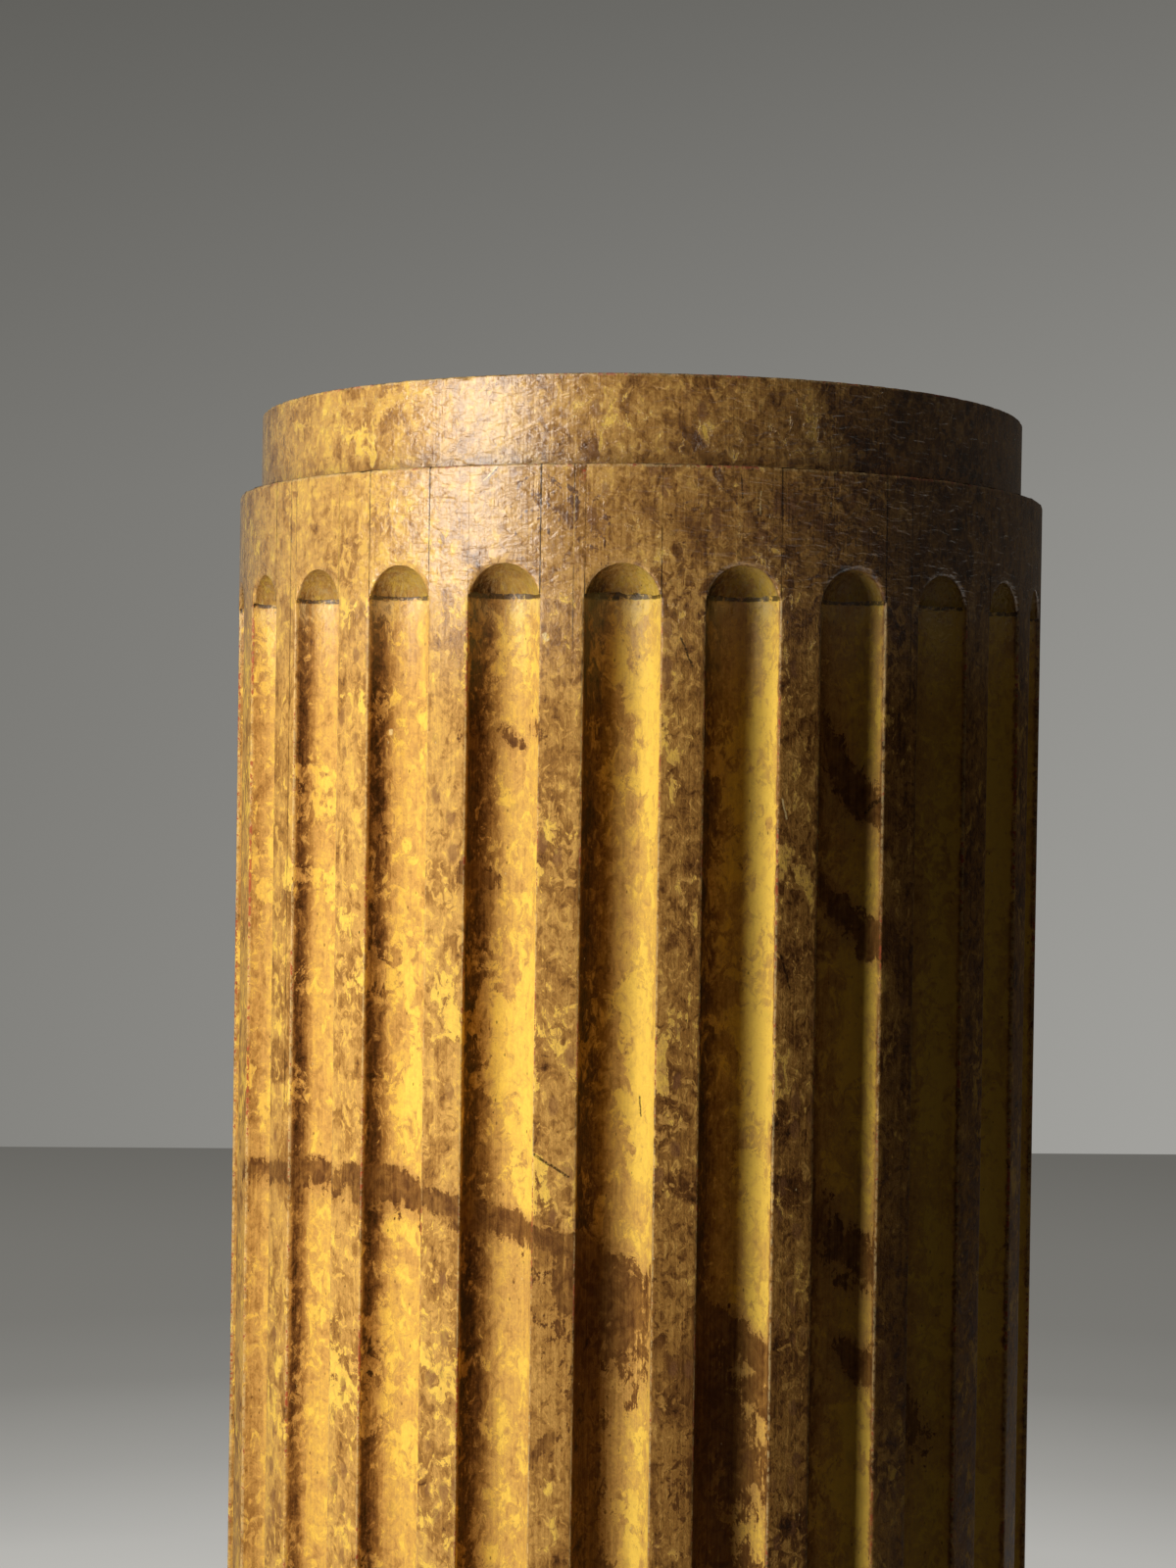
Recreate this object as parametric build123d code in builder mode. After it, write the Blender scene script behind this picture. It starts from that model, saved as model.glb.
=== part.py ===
from build123d import *
import math
import os

# Painted wooden column, coopered from fluted staves. Millimetres, +Z up.
# The origin is the centre of the foot's underside, and one flute faces -Y.

# Shaft
shaft_radius = 170.0
shaft_height = 966.0
stave_count = 8
flutes_per_stave = 3
board_thickness = 50.0
front_flute_angle = -90.0
# The stave joints lie a little to one side of the middle of their fillets
joint_offset_angle = 1.4

# Flutes, run through the whole length of each stave
flute_radius = 14.0

# Half-round plugs that close the flutes' ends, each with a dome carved in its inner end.
# A plug is cut back from the dome's centre, so that it doesn't end in a feather edge.
upper_band = 36.0
lower_band = 36.0
dome_radius = 13.5
plug_cut_back = 1.8
plug_clearance = 0.1

# Eased edges
rim_ease = 1.2
cap_top_ease = 1.5
cap_foot_ease = 0.8

# Cap, set back from the shaft's face all round
cap_setback = 8.8
cap_height = 34.0

# Formers that hold the staves inside
upper_former_thickness = 30.0
lower_former_thickness = 30.0

# Countersunk wood screws through the cap into the upper former
screw_count = 4
screw_circle_radius = 92.0
screw_head_radius = 5.0
screw_head_rim = 0.5
screw_head_height = 3.4
screw_core_radius = 2.4
screw_length = 55.0
screw_tip_length = 7.0
screw_slot_width = 1.3
screw_slot_depth = 1.4
screw_slot_turn = 37.0
screw_sink = 1.0
screw_clearance = 0.1

# Worked-out sizes
flute_count = stave_count * flutes_per_stave
flute_pitch = 360.0 / flute_count
stave_angle = 360.0 / stave_count
first_joint_angle = front_flute_angle - flute_pitch / 2 + joint_offset_angle
cap_radius = shaft_radius - cap_setback
flute_axis_radius = math.sqrt(shaft_radius**2 - flute_radius**2)
inner_flat = shaft_radius - board_thickness
upper_dome_height = shaft_height - upper_band - dome_radius
lower_dome_height = lower_band + dome_radius
cap_top = shaft_height + cap_height
screw_head_top = cap_top - screw_sink

os.makedirs("parts", exist_ok=True)


def write(piece, name):
    piece.label = name
    export_step(piece, f"parts/{name}.step")


# The edges of a piece where the shaft's round face meets one of its ends
def rim_edges(piece, end_height):
    arcs = piece.edges().filter_by(GeomType.CIRCLE)
    shaft_arcs = arcs.filter_by(lambda arc: abs(arc.radius - shaft_radius) < rim_ease)
    return shaft_arcs.filter_by(lambda arc: abs(arc.center().Z - end_height) < rim_ease)


# A mitred board with a round outer face, a flat inner face and three flutes
def make_stave(turn):
    half_angle = math.radians(stave_angle / 2)
    outer_x = shaft_radius * math.cos(half_angle)
    outer_y = shaft_radius * math.sin(half_angle)
    inner_y = inner_flat * math.tan(half_angle)
    flute_spread = flute_pitch * (flutes_per_stave - 1)
    first_flute_angle = -flute_spread / 2 - joint_offset_angle
    with BuildPart() as stave:
        with BuildSketch(Plane.XY.rotated((0, 0, turn))):
            with BuildLine():
                ThreePointArc((outer_x, -outer_y), (shaft_radius, 0), (outer_x, outer_y))
                Line((outer_x, outer_y), (inner_flat, inner_y))
                Line((inner_flat, inner_y), (inner_flat, -inner_y))
                Line((inner_flat, -inner_y), (outer_x, -outer_y))
            make_face()
            with PolarLocations(
                flute_axis_radius, flutes_per_stave, first_flute_angle, flute_spread, endpoint=True
            ):
                Circle(flute_radius, mode=Mode.SUBTRACT)
        extrude(amount=shaft_height)
        chamfer(rim_edges(stave, 0) + rim_edges(stave, shaft_height), rim_ease)
    return stave.part


# A half-round stick that fills a flute from the shaft's end to just short of the dome's centre
def make_plug(turn, end_height, dome_height, cut_back):
    inner_height = dome_height + cut_back
    with BuildPart() as plug:
        with BuildSketch(Plane.XY.offset(inner_height).rotated((0, 0, turn))):
            with Locations((flute_axis_radius, 0)):
                Circle(flute_radius - plug_clearance)
            Circle(shaft_radius, mode=Mode.INTERSECT)
        extrude(amount=end_height - inner_height)
        with PolarLocations(flute_axis_radius, 1, turn):
            with Locations((0, 0, dome_height)):
                Sphere(dome_radius, mode=Mode.SUBTRACT)
        chamfer(rim_edges(plug, end_height), rim_ease)
    return plug.part


# A screw's body, or with a gap the hole that takes it
def make_screw_form(gap, top_height):
    head_radius = screw_head_radius + gap
    core_radius = screw_core_radius + gap
    cone_top = screw_head_top - screw_head_rim
    cone_foot = screw_head_top - screw_head_height
    tip_height = screw_head_top - screw_length - gap
    with BuildPart() as form:
        with BuildSketch(Plane.XZ):
            with BuildLine():
                Polyline(
                    (0, top_height),
                    (head_radius, top_height),
                    (head_radius, cone_top),
                    (core_radius, cone_foot),
                    (core_radius, tip_height + screw_tip_length),
                    (0, tip_height),
                    close=True,
                )
            make_face()
        revolve(axis=Axis.Z)
    return form.part


screw_body = make_screw_form(0, screw_head_top)
screw_hole = make_screw_form(screw_clearance, cap_top + screw_sink)

# Staves
for number in range(stave_count):
    stave = make_stave(first_joint_angle + stave_angle * (number + 0.5))
    write(stave, f"stave_{number + 1}")

# Plugs, two to each flute
for number in range(flute_count):
    turn = front_flute_angle + flute_pitch * number
    upper_plug = make_plug(turn, shaft_height, upper_dome_height, plug_cut_back)
    write(upper_plug, f"upper_plug_{number + 1:02d}")
    lower_plug = make_plug(turn, 0, lower_dome_height, -plug_cut_back)
    write(lower_plug, f"lower_plug_{number + 1:02d}")

# Cap, a turned disc that lies on the stave ends and the upper former
with BuildPart() as cap:
    with BuildSketch(Plane.XY.offset(shaft_height)):
        Circle(cap_radius)
    extrude(amount=cap_height)
    chamfer(cap.faces().sort_by(Axis.Z)[-1].edges(), cap_top_ease)
    chamfer(cap.faces().sort_by(Axis.Z)[0].edges(), cap_foot_ease)
    with PolarLocations(screw_circle_radius, screw_count):
        add(screw_hole, mode=Mode.SUBTRACT)
write(cap.part, "cap_disc")

# Upper former, flush with the stave ends
with BuildPart() as upper_former:
    with BuildSketch(Plane.XY.offset(shaft_height)):
        RegularPolygon(
            inner_flat, stave_count, major_radius=False, rotation=first_joint_angle
        )
    extrude(amount=-upper_former_thickness)
    with PolarLocations(screw_circle_radius, screw_count):
        add(screw_hole, mode=Mode.SUBTRACT)
write(upper_former.part, "upper_former")

# Lower former, flush with the foot
with BuildPart() as lower_former:
    with BuildSketch():
        RegularPolygon(
            inner_flat, stave_count, major_radius=False, rotation=first_joint_angle
        )
    extrude(amount=lower_former_thickness)
write(lower_former.part, "lower_former")

# Cap screws, each with its slot at its own angle
with BuildPart() as cap_screws:
    with PolarLocations(screw_circle_radius, screw_count):
        add(screw_body)
    for number in range(screw_count):
        with BuildSketch(Plane.XY.offset(screw_head_top)):
            with PolarLocations(screw_circle_radius, 1, 360.0 / screw_count * number):
                with Locations(Rotation(0, 0, screw_slot_turn * number)):
                    Rectangle(4 * screw_head_radius, screw_slot_width)
        extrude(amount=-screw_slot_depth, mode=Mode.SUBTRACT)
write(cap_screws.part, "cap_screws")
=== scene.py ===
import math
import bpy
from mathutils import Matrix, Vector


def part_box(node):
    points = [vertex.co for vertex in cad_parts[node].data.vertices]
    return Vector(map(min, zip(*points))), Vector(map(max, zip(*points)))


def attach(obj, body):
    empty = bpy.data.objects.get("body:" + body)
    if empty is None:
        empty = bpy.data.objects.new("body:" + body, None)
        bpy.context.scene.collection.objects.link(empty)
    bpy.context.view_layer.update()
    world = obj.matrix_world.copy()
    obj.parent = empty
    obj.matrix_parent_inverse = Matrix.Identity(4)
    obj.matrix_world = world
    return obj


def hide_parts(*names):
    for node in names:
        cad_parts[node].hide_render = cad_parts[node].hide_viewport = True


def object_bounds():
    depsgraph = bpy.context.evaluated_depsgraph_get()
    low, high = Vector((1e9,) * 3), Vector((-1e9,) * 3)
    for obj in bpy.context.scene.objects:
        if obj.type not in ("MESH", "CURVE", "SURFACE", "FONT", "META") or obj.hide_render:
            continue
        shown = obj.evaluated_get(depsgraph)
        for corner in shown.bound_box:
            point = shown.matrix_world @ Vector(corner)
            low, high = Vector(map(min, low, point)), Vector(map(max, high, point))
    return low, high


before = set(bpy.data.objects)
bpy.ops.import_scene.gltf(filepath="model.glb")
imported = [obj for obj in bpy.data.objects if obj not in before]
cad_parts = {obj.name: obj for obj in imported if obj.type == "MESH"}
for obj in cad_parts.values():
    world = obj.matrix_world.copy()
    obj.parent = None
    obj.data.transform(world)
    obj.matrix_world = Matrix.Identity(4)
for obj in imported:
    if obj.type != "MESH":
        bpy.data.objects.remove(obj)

from types import SimpleNamespace

import bmesh
import bpy
import numpy as np
from mathutils import Matrix, Vector

# A coopered column shaft with a marbled, varnished paint finish.
# Turns are degrees round the column from its front flute, which faces -Y, towards +X.
# Lengths in the dictionaries are millimetres, apart from the studio's, and mm turns them into metres.
mm = 0.001
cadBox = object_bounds()
scene = bpy.context.scene

column = {
    "radius": cadBox[1].x / mm,
    "shaftTop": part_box("stave_1")[1].z / mm,
    "capTop": cadBox[1].z / mm,
    "capRadius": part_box("cap_disc")[1].x / mm,
    "staves": 8,
    "flutes": 24,
    "jointTurn": -6.1,
    "fluteRadius": 14.0,
    "plugRadius": 13.9,
    "domeRadius": 13.5,
    "domeCutBack": 1.8,
    "upperDome": 916.5,
    "lowerDome": 49.5,
    "innerFlat": 120.0,
    "rimEase": 1.2,
}
column["flutePitch"] = 360 / column["flutes"]
column["flutesEach"] = column["flutes"] // column["staves"]
column["staveTurn"] = 360 / column["staves"]
column["fluteAxis"] = math.sqrt(column["radius"] ** 2 - column["fluteRadius"] ** 2)
column["arrisTurn"] = math.degrees(math.asin(column["fluteRadius"] / column["radius"]))
# the heights of the joints across the flutes, and the length of one degree round the skin
column["upperJoint"] = column["upperDome"] + column["domeCutBack"]
column["lowerJoint"] = column["lowerDome"] - column["domeCutBack"]
column["degree"] = math.radians(column["radius"])


# An sRGB colour as the linear values that a shader takes
def tint(red, green, blue):
    linear = [c / 255 / 12.92 if c <= 10 else ((c / 255 + 0.055) / 1.055) ** 2.4 for c in (red, green, blue)]
    return (*linear, 1.0)


# Short calls for wiring a node tree, of a material or of geometry
class Wiring:
    def __init__(self, tree):
        self.tree = tree

    def feed(self, socket, value):
        if isinstance(value, bpy.types.NodeSocket):
            self.tree.links.new(value, socket)
        elif value is not None:
            socket.default_value = value

    def node(self, kind, inputs=None, **settings):
        made = self.tree.nodes.new(kind)
        for key, value in settings.items():
            setattr(made, key, value)
        for key, value in (inputs or {}).items():
            self.feed(made.inputs[key], value)
        return made

    def math(self, operation, first, second=None, third=None, clamp=False):
        inputs = {0: first, 1: second, 2: third}
        return self.node("ShaderNodeMath", inputs, operation=operation, use_clamp=clamp).outputs[0]

    def add(self, *values):
        total = values[0]
        for value in values[1:]:
            total = self.math("ADD", total, value)
        return total

    def times(self, *values):
        total = values[0]
        for value in values[1:]:
            total = self.math("MULTIPLY", total, value)
        return total

    def less(self, first, second):
        return self.math("SUBTRACT", first, second)

    # A noise value turned into a push either way, of about the given reach
    def sway(self, value, reach):
        return self.math("MULTIPLY", self.less(value, 0.5), reach)

    def vector(self, operation, first, second=None):
        inputs = {0: first}
        if operation == "SCALE":
            inputs["Scale"] = second
        else:
            inputs[1] = second
        made = self.node("ShaderNodeVectorMath", inputs, operation=operation)
        return made.outputs["Value" if operation in ("LENGTH", "DISTANCE", "DOT_PRODUCT") else "Vector"]

    def join(self, x, y, z):
        return self.node("ShaderNodeCombineXYZ", {0: x, 1: y, 2: z}).outputs[0]

    # Smooth step from 0 at low to 1 at high, or falling where low is the larger
    def step(self, value, low, high, kind="SMOOTHSTEP"):
        inputs = {"Value": value, "From Min": low, "From Max": high, "To Min": 0.0, "To Max": 1.0}
        return self.node("ShaderNodeMapRange", inputs, interpolation_type=kind, clamp=True).outputs[0]

    # Noise whose marks measure about size across
    def noise(self, place, size, detail=3.0, rough=0.5, twist=0.0, shift=0.0):
        if shift:
            place = self.vector("ADD", place, (37.0 * shift, -53.0 * shift, 71.0 * shift))
        inputs = {"Vector": place, "Scale": 1 / size, "Detail": detail, "Roughness": rough, "Distortion": twist}
        return self.node("ShaderNodeTexNoise", inputs).outputs["Fac"]

    # The same with a seed and a size in metres, which may be sockets
    def seeded(self, place, size, seed, detail=2.0, rough=0.5):
        scale = 1 / size if isinstance(size, float) else self.math("DIVIDE", 1.0, size)
        inputs = {"Vector": place, "W": seed, "Scale": scale, "Detail": detail, "Roughness": rough}
        return self.node("ShaderNodeTexNoise", inputs, noise_dimensions="4D").outputs[0]

    # Goes from the first number to the second as share goes from 0 to 1
    def blend(self, share, first, second):
        return self.math("MULTIPLY_ADD", share, self.less(second, first), first)

    def mix(self, share, first, second):
        return self.node("ShaderNodeMix", {0: share, 6: first, 7: second}, data_type="RGBA").outputs[2]

    # The value painted on the mesh under a name
    def painted(self, name):
        return self.node("ShaderNodeAttribute", attribute_name=name).outputs["Fac"]

    # A ramp through stops, each a position and a colour
    def ramp(self, value, stops):
        made = self.node("ShaderNodeValToRGB", {0: value})
        while len(made.color_ramp.elements) < len(stops):
            made.color_ramp.elements.new(0.5)
        for element, (position, colour) in zip(made.color_ramp.elements, stops):
            element.position = position
            element.color = colour
        return made.outputs[0]


# An empty material, its wiring and the place on the object in millimetres
def newMaterial(name):
    material = bpy.data.materials.new(name)
    material.use_nodes = True
    material.node_tree.nodes.clear()
    w = Wiring(material.node_tree)
    return material, w, w.vector("SCALE", w.node("ShaderNodeTexCoord").outputs["Object"], 1 / mm)


def addObject(name, data):
    made = bpy.data.objects.new(name, data)
    scene.collection.objects.link(made)
    return made


# Studio

# lengths here are metres, and the floor's painted light falloff and the wall's shades are greys out of 255
studio = {
    "lens": 57.58,
    "cameraPlace": (0.03686, -1.07717, 0.86213),
    "forward": (-0.05338, 0.99848, -0.01361),
    "upward": (-0.01484, 0.01284, 0.99981),
    # a tall lamp close by at the front left, of which only the top shows in the varnish,
    # and a broad one behind for the side that the camera doesn't see
    "keyLowerTurn": -35.0,
    "keyUpperTurn": -38.0,
    "keyDistance": 0.48,
    "keyWidth": 0.18,
    "keyFoot": 0.4,
    "keyMiddle": 0.87,
    "keyTop": 1.5,
    "keyGlow": 3.0,
    "lampColour": (1.0, 0.955, 0.88),
    "backTurn": 170.0,
    "backDistance": 1.5,
    "backHeight": 0.9,
    "backSize": 0.8,
    "backPower": 14.0,
    "fill": 0.038,
    "fillColour": (1.0, 0.84, 0.68, 1.0),
    "floorReach": 4.6,
    "floorFarLeft": 3.862,
    "floorFarRight": 4.790,
    "floorColour": tint(150, 150, 148),
    "floorLightFalloff": ((0.0, 205), (1.7, 176), (2.0, 152), (2.4, 126), (2.8, 116), (3.4, 112), (4.4, 100)),
    "wallShadesLeft": ((-0.16, 134), (0.1, 120), (0.3, 94)),
    "wallShadesRight": ((-0.16, 163), (0.1, 143), (0.3, 110)),
}


# A ramp of nearly neutral greys, each given with the value it stands at
def shadeRamp(w, value, shades):
    first, last = shades[0][0], shades[-1][0]
    stops = [((position - first) / (last - first), tint(grey, grey - 1, grey - 5)) for position, grey in shades]
    return w.ramp(w.step(value, first, last, "LINEAR"), stops)


# A lamp that stands upright and faces the column
def addLamp(name, turn, distance, height, width, tall, power, mirrored):
    lamp = addObject(name, bpy.data.lights.new(name, "AREA"))
    lamp.data.shape = "RECTANGLE"
    lamp.data.size = width
    lamp.data.size_y = tall
    lamp.data.energy = power
    lamp.data.color = studio["lampColour"]
    lamp.visible_camera = False
    lamp.visible_glossy = mirrored
    outward = Vector((math.sin(math.radians(turn)), -math.cos(math.radians(turn)), 0))
    lamp.location = distance * outward + Vector((0, 0, height))
    lamp.rotation_euler = outward.to_track_quat("Z", "Y").to_euler()


def makeCamera():
    camera = addObject("camera", bpy.data.cameras.new("camera"))
    camera.data.lens = studio["lens"]
    camera.data.sensor_width = 36
    camera.data.clip_start = 0.01
    forward = Vector(studio["forward"]).normalized()
    side = forward.cross(Vector(studio["upward"])).normalized()
    upward = side.cross(forward)
    rows = [[side[k], upward[k], -forward[k], studio["cameraPlace"][k]] for k in range(3)]
    camera.matrix_world = Matrix([*rows, [0, 0, 0, 1]])
    scene.camera = camera


def makeLamps():
    for name, foot, top in (("keyLower", "keyFoot", "keyMiddle"), ("keyUpper", "keyMiddle", "keyTop")):
        tall = studio[top] - studio[foot]
        addLamp(
            name, studio[name + "Turn"], studio["keyDistance"], studio[foot] + tall / 2, studio["keyWidth"], tall,
            studio["keyGlow"] * tall, name == "keyUpper",
        )
    size = studio["backSize"]
    addLamp(
        "back", studio["backTurn"], studio["backDistance"], studio["backHeight"], size, size, studio["backPower"], False
    )


# A grey wall for the camera and the varnish, and a weak warm fill for everything else
def makeWorld():
    world = bpy.data.worlds.new("studio")
    scene.world = world
    world.use_nodes = True
    world.node_tree.nodes.clear()
    w = Wiring(world.node_tree)
    rays = w.node("ShaderNodeLightPath").outputs
    direction = w.node("ShaderNodeTexCoord").outputs["Generated"]
    sideways, ahead, rise = w.node("ShaderNodeSeparateXYZ", {0: direction}).outputs
    # the varnish mirrors the pale wall, and a darker room on the near side and to the right
    mirrored = w.times(rays["Is Glossy Ray"], w.step(ahead, -0.35, 0.35), w.step(sideways, 0.1, -0.2))
    seen = w.add(rays["Is Camera Ray"], mirrored, rays["Is Transmission Ray"])
    left = shadeRamp(w, rise, studio["wallShadesLeft"])
    right = shadeRamp(w, rise, studio["wallShadesRight"])
    wall = w.mix(w.step(sideways, -0.28, 0.17, "LINEAR"), left, right)
    shown = w.node("ShaderNodeBackground", {"Color": wall, "Strength": 1.0}).outputs[0]
    light = w.node("ShaderNodeBackground", {"Color": studio["fillColour"], "Strength": studio["fill"]}).outputs[0]
    both = w.node("ShaderNodeMixShader", {0: seen, 1: light, 2: shown}).outputs[0]
    w.node("ShaderNodeOutputWorld", {"Surface": both})


# A floor that shows painted light, brightest near the column and darker further off, and takes the column's shadow
def makeFloor():
    reach, farLeft, farRight = studio["floorReach"], studio["floorFarLeft"], studio["floorFarRight"]
    floorMesh = bpy.data.meshes.new("floor")
    corners = [(-reach, -reach, 0), (reach, -reach, 0), (reach, farRight, 0), (-reach, farLeft, 0)]
    floorMesh.from_pydata(corners, [], [(0, 1, 2, 3)])
    floor = addObject("floor", floorMesh)
    material, w, place = newMaterial("floorPaint")
    # painted light: the floor is brightest near the column and darker further away
    shade = shadeRamp(w, w.times(w.vector("LENGTH", place), mm), studio["floorLightFalloff"])
    rays = w.node("ShaderNodeLightPath").outputs
    seen = w.add(rays["Is Camera Ray"], rays["Is Glossy Ray"], rays["Is Transmission Ray"])
    glow = w.node("ShaderNodeEmission", {"Color": shade, "Strength": seen}).outputs[0]
    matt = w.node("ShaderNodeBsdfDiffuse", {"Color": studio["floorColour"]}).outputs[0]
    both = w.node("ShaderNodeAddShader", {0: glow, 1: matt}).outputs[0]
    w.node("ShaderNodeOutputMaterial", {"Surface": both})
    floorMesh.materials.append(material)


def makeStudio():
    scene.view_settings.view_transform = "Standard"
    makeCamera()
    makeLamps()
    makeWorld()
    makeFloor()
    print("studio ready")


# Glazing: where the painter's darker, brighter and mauve touches lie; a few broad darker touches are painted shade.
# Each touch runs from a turn and height to a turn and height, then gives its half width, its strength,
# and how far its lower edge is dragged down, in half widths.

touches = {
    "glazeAndShade": [
        (-66, 690, -50, 697, 4, 0.8, 0.5), (-50, 697, -39, 697, 4, 0.8, 1.0), (-38, 701, -34, 701, 3, 0.9, 0.8),
        (-35, 700, -32, 698, 4, 1.0, 1.6), (-32, 698, -28, 692, 4, 1.0, 1.2), (-25, 696, -20, 693, 3.4, 1.0, 0.3),
        (-20, 690, -16, 688, 4, 1.0, 0.5), (-16, 688, -11, 684, 4, 1.0, 0.6), (-10, 687, -5, 684, 2, 0.9, 5.0),
        # the broad touches down the left halves of the front flute and the next flute to its right are painted shade,
        # where the flutes' own shadow falls
        (-10, 668, -5, 664, 12, 0.5, 1.0), (-4.4, 679, 1.2, 669, 5, 0.8, 1.6), (-4, 668, 1.5, 660, 12, 0.9, 1.5),
        (-4, 640, -2, 560, 8, 0.6, 0.5), (11, 657, 16.5, 649, 5, 1.0, 2.2), (16.5, 649, 20, 638, 4, 1.0, 1.6),
        (11, 640, 17, 600, 11, 0.85, 1.0), (11, 600, 16, 560, 12, 0.75, 1.0), (18.5, 628, 20, 622, 4, 0.9, 0.4),
        (28, 873, 31, 862, 5, 0.8, 0.5), (30, 862, 33, 848, 5, 0.95, 0.5), (32, 849, 34.7, 841, 4, 1.0, 0.5),
        (28, 814, 31, 806, 4, 0.85, 0.4), (31, 806, 34.5, 793, 5, 0.9, 0.6), (28, 690, 34.7, 672, 8, 0.85, 0.5),
        (33, 638, 34.7, 633, 5, 0.9, 0.6), (35.6, 798, 39, 780, 4, 1.0, 0.5), (39, 780, 44, 756, 5, 1.0, 0.5),
        (-16.6, 869, -14, 863, 3, 0.55, 0.6), (-19.7, 817, -17.8, 813, 3, 0.9, 0.8),
        (-21, 873, -19.8, 866, 3, 0.55, 0.8), (-12, 871, -10.2, 868, 3, 0.6, 0.6),
        (-10, 603, -7.5, 612, 2.6, 0.75, 0.3), (40, 640, 47, 600, 7, 0.7, 0.8),
        (7, 983, 10.8, 969, 2.0, 0.9, 0.2), (11.1, 964, 13.6, 954, 1.4, 0.8, 0.3), (7, 948, 9.5, 938, 6, 0.65, 0.6),
        (20, 956, 26, 944, 7, 0.62, 0.8), (-12, 955, -3, 945, 9, 0.5, 1.0), (28, 946, 36, 938, 7, 0.55, 0.8),
    ],
    "bright": [
        (-49, 850, -47, 836, 6, 0.8, 0.5), (-49, 812, -45, 806, 6, 0.7, 0.5), (-34.4, 778, -30, 770, 6, 0.9, 0.4),
        (-31, 762, -29, 748, 5, 0.8, 0.4), (-30, 735, -28.6, 724, 7, 0.9, 0.3), (-24, 772, -21, 764, 5, 0.8, 0.3),
        (-18, 764, -14, 752, 7, 0.9, 0.3), (-16, 744, -12, 730, 7, 0.95, 0.3), (-13, 722, -11, 706, 6, 1.0, 0.3),
        (1, 774, 4, 742, 5, 0.85, 0.3), (1, 732, 3.5, 716, 5, 0.9, 0.3), (-1, 898, 3.5, 872, 5, 0.7, 0.4),
        (10.5, 912, 12, 905, 3, 0.6, 0.4), (12, 856, 16, 846, 5, 0.6, 0.4), (17, 764, 19.5, 738, 5, 0.9, 0.3),
        (17, 712, 19, 696, 5, 0.8, 0.3), (-42, 640, -38, 610, 5, 0.6, 0.3), (-33, 610, -28, 590, 7, 0.6, 0.3),
        (-4, 956, 5, 946, 9, 0.35, 0.4), (8, 962, 12, 958, 4, 0.4, 0.4), (16, 936, 20, 922, 6, 0.5, 0.5),
        (-8, 984, 14, 980, 9, 0.4, 0.4), (-48, 985, -38, 980, 8, 0.6, 0.4), (20, 984, 30, 978, 7, 0.6, 0.4),
    ],
    "mauve": [
        (-37, 885, -22, 830, 12, 0.9, 0.2), (-36, 620, -36, 550, 7, 0.9, 0.2), (-21.5, 690, -22, 560, 7, 0.85, 0.2),
        (-52, 640, -52, 560, 7, 0.8, 0.2), (44, 640, 56, 560, 18, 0.95, 0.2), (-16, 960, 40, 955, 9, 0.6, 0.2),
        (-60, 760, -54, 700, 9, 0.7, 0.2), (22, 760, 22, 600, 7, 0.6, 0.2),
    ],
}

# Joints that show: turn, lower height, upper height, and strength, below nought where paint stands up over them, drawn
# as a painted highlight
seams = [
    (-55.28, 918, 967, 0.6), (-49.72, 918, 967, 0.8), (-40.28, 918, 967, -1.0), (-34.72, 918, 967, 0.8),
    (-25.28, 927, 967, 0.85), (-10.28, 916, 967, 1.0), (-4.72, 917, 932, 0.7), (4.72, 930, 967, 0.45),
    (4.72, 917, 931, 0.9), (19.72, 948, 967, 0.8), (34.72, 918, 967, 0.9), (-6.1, 955, 967, 1.0),
    (-6.1, 931, 955, -0.55), (-6.1, 890, 930, 0.8), (38.9, 880, 967, 0.9), (-51.1, 800, 967, 0.5),
]


def readPlaces(mesh):
    places = np.empty(len(mesh.vertices) * 3)
    mesh.vertices.foreach_get("co", places)
    return places.reshape(-1, 3) / mm


def writeAmounts(mesh, name, amounts):
    layer = mesh.attributes.get(name) or mesh.attributes.new(name, "FLOAT", "POINT")
    layer.data.foreach_set("value", amounts.astype(np.float32))


# How strong a touch is at each place, from its turn and height
def touchAmounts(turns, heights, touch):
    turnA, heightA, turnB, heightB, halfWidth, strength, drag = touch
    across = ((turns - turnA + 180) % 360 - 180) * column["degree"]
    along = np.array([(turnB - turnA) * column["degree"], heightB - heightA])
    share = (across * along[0] + (heights - heightA) * along[1]) / max(along @ along, 1e-6)
    share = np.clip(share, 0, 1)
    missX = across - share * along[0]
    missZ = heights - heightA - share * along[1]
    missZ = np.where(missZ < 0, missZ / (1 + drag), missZ)
    return strength * np.clip(1 - np.hypot(missX, missZ) / (2 * halfWidth), 0, 1)


# Lays the touches and the seams on a piece, as amounts from 0 to 1 on its vertices
def layTouches(mesh):
    places = readPlaces(mesh)
    turns = np.degrees(np.arctan2(places[:, 0], -places[:, 1]))
    radii = np.hypot(places[:, 0], places[:, 1])
    heights = places[:, 2]
    for name, strokes in allTouches.items():
        amounts = np.zeros(len(places))
        for touch in strokes:
            amounts = np.maximum(amounts, touchAmounts(turns, heights, touch))
        writeAmounts(mesh, name, amounts)
    amounts = np.zeros(len(places))
    onSkin = radii > column["radius"] - column["rimEase"]
    for turn, low, high, strength in allSeams:
        near = np.abs((turns - turn + 180) % 360 - 180) * column["degree"] < 0.13
        amounts[near & onSkin & (heights > low) & (heights < high)] = strength
    writeAmounts(mesh, "seam", amounts)


# The sides that the photograph doesn't show get touches and seams of the same kinds
spread = {
    "seed": 11,
    # how many touches there are, their least and most half width, and the weakest of them
    "touches": {"glazeAndShade": (44, 2, 5, 0.4), "bright": (90, 4, 8, 0.6), "mauve": (40, 5, 13, 0.6)},
    "backTurns": (70, 290),
    "frontTurns": (-66, 60),
    "backHeights": (10, 990),
    "frontHeights": (10, 540),
    "veins": 14,
    "veinTurns": (75, 262),
    "veinHeights": (60, 900),
    "veinSteps": (3, 8),
}


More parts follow.
